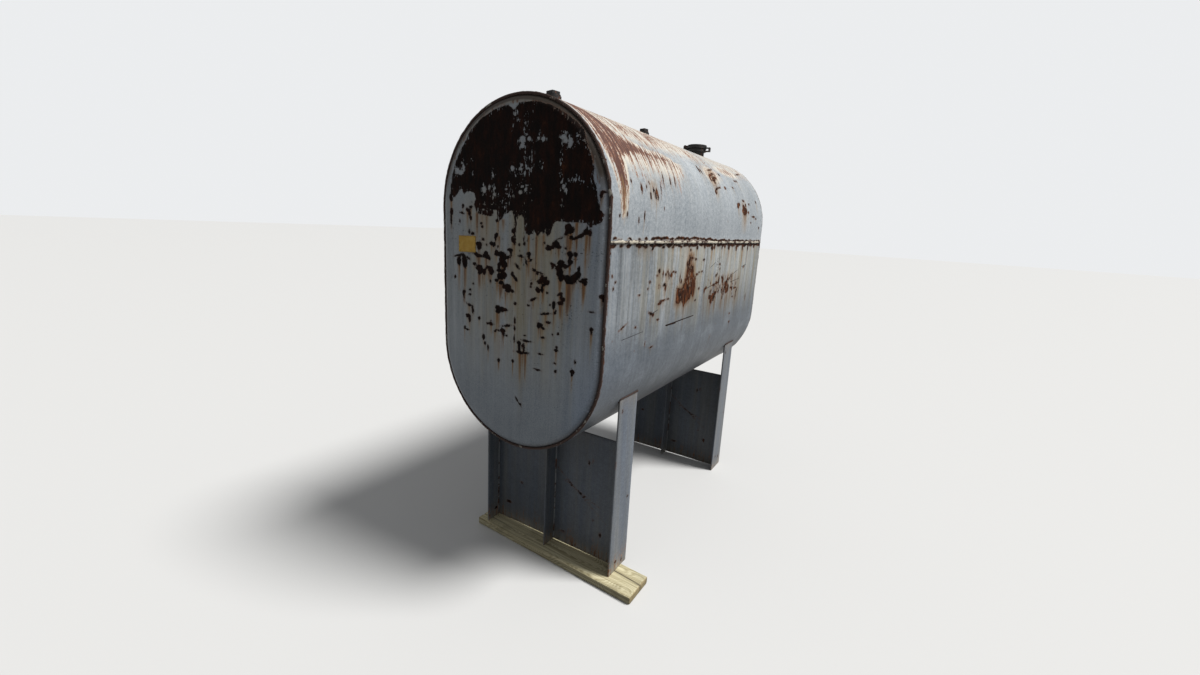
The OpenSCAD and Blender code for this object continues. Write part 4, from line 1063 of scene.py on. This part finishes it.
for node, width in (("front_coupling", 0.0016), ("middle_coupling", 0.0016), ("front_plug", 0.0018),
                    ("middle_plug", 0.0016), ("fill_neck", 0.0010), ("fill_cap_collar", 0.0014),
                    ("lid_hinge_pin", 0.0010), ("fill_lid", 0.0014)):
    obj = NODES[node]
    obj.data.materials.clear()
    obj.data.materials.append(pin_black if node == "lid_hinge_pin" else fitting_black)
    soften = obj.modifiers.new("soften", "BEVEL")
    soften.width, soften.segments, soften.limit_method = width, 3, "ANGLE"
    soften.angle_limit = math.radians(40)
    soften.harden_normals = True


# ---------------------------------------------------------------- stage, lights and camera

def stage():
    """A floor that looks pale to the camera but throws little light back."""
    s = Shade("floor_pale")
    path = s.tree.nodes.new("ShaderNodeLightPath").outputs
    seen = s.do("MAXIMUM", path["Is Camera Ray"], path["Is Glossy Ray"])
    bm = bmesh.new()
    bmesh.ops.create_grid(bm, x_segments=1, y_segments=1, size=60)
    floor = bm_object("floor", bm)
    lights_the_tank, is_seen = (0.05, 0.05, 0.05, 1), (0.60, 0.60, 0.596, 1)
    floor.data.materials.append(s.finish(s.mix(seen, lights_the_tank, is_seen), 0.9))


def sun(name, azimuth, elevation, strength, spread, colour):
    """A wide soft sun: azimuth is measured from the right (+X) toward the back (+Y)."""
    data = bpy.data.lights.new(name, "SUN")
    data.energy, data.angle, data.color = strength, math.radians(spread), colour
    az, el = math.radians(azimuth), math.radians(elevation)
    toward = Vector((math.cos(az) * math.cos(el), math.sin(az) * math.cos(el), math.sin(el)))
    lamp = link(name, data)
    lamp.rotation_mode = "QUATERNION"
    lamp.rotation_quaternion = toward.to_track_quat("Z", "Y")


stage()
sun("key", 20, 56, 4.2, 18, (1.0, 0.99, 0.97))
# The sky looks pale, but lights the tank with less than that.
world = bpy.data.worlds.new("soft_grey")
world.use_nodes = True
sky = world.node_tree.nodes["Background"]
path = world.node_tree.nodes.new("ShaderNodeLightPath")
amount = world.node_tree.nodes.new("ShaderNodeMapRange")
world.node_tree.links.new(path.outputs["Is Camera Ray"], amount.inputs["Value"])
amount.inputs["To Min"].default_value = 0.29
amount.inputs["To Max"].default_value = 0.86
sky.inputs["Color"].default_value = (0.97, 0.985, 1.0, 1)
world.node_tree.links.new(amount.outputs["Result"], sky.inputs["Strength"])
bpy.context.scene.world = world
bpy.context.scene.view_settings.view_transform = "Standard"

# The camera that was fitted to the tank's outline in the photo.
camera_data = bpy.data.cameras.new("camera")
camera_data.sensor_width = 36
camera_data.lens = 14.8875
camera_data.clip_start, camera_data.clip_end = 0.05, 300
camera = link("camera", camera_data)
azimuth, elevation, roll = math.radians(31.5437), math.radians(12.7504), math.radians(3.136)
forward = Vector((-math.sin(azimuth) * math.cos(elevation), math.cos(azimuth) * math.cos(elevation),
                  -math.sin(elevation)))
level = forward.cross(Vector((0, 0, 1))).normalized()
up = level.cross(forward)
right = level * math.cos(roll) + up * math.sin(roll)
above = up * math.cos(roll) - level * math.sin(roll)
camera.matrix_world = Matrix.Translation((1.387775, -2.696834, 1.733765)) @ Matrix(
    (right, above, -forward)).transposed().to_4x4()
bpy.context.scene.camera = camera
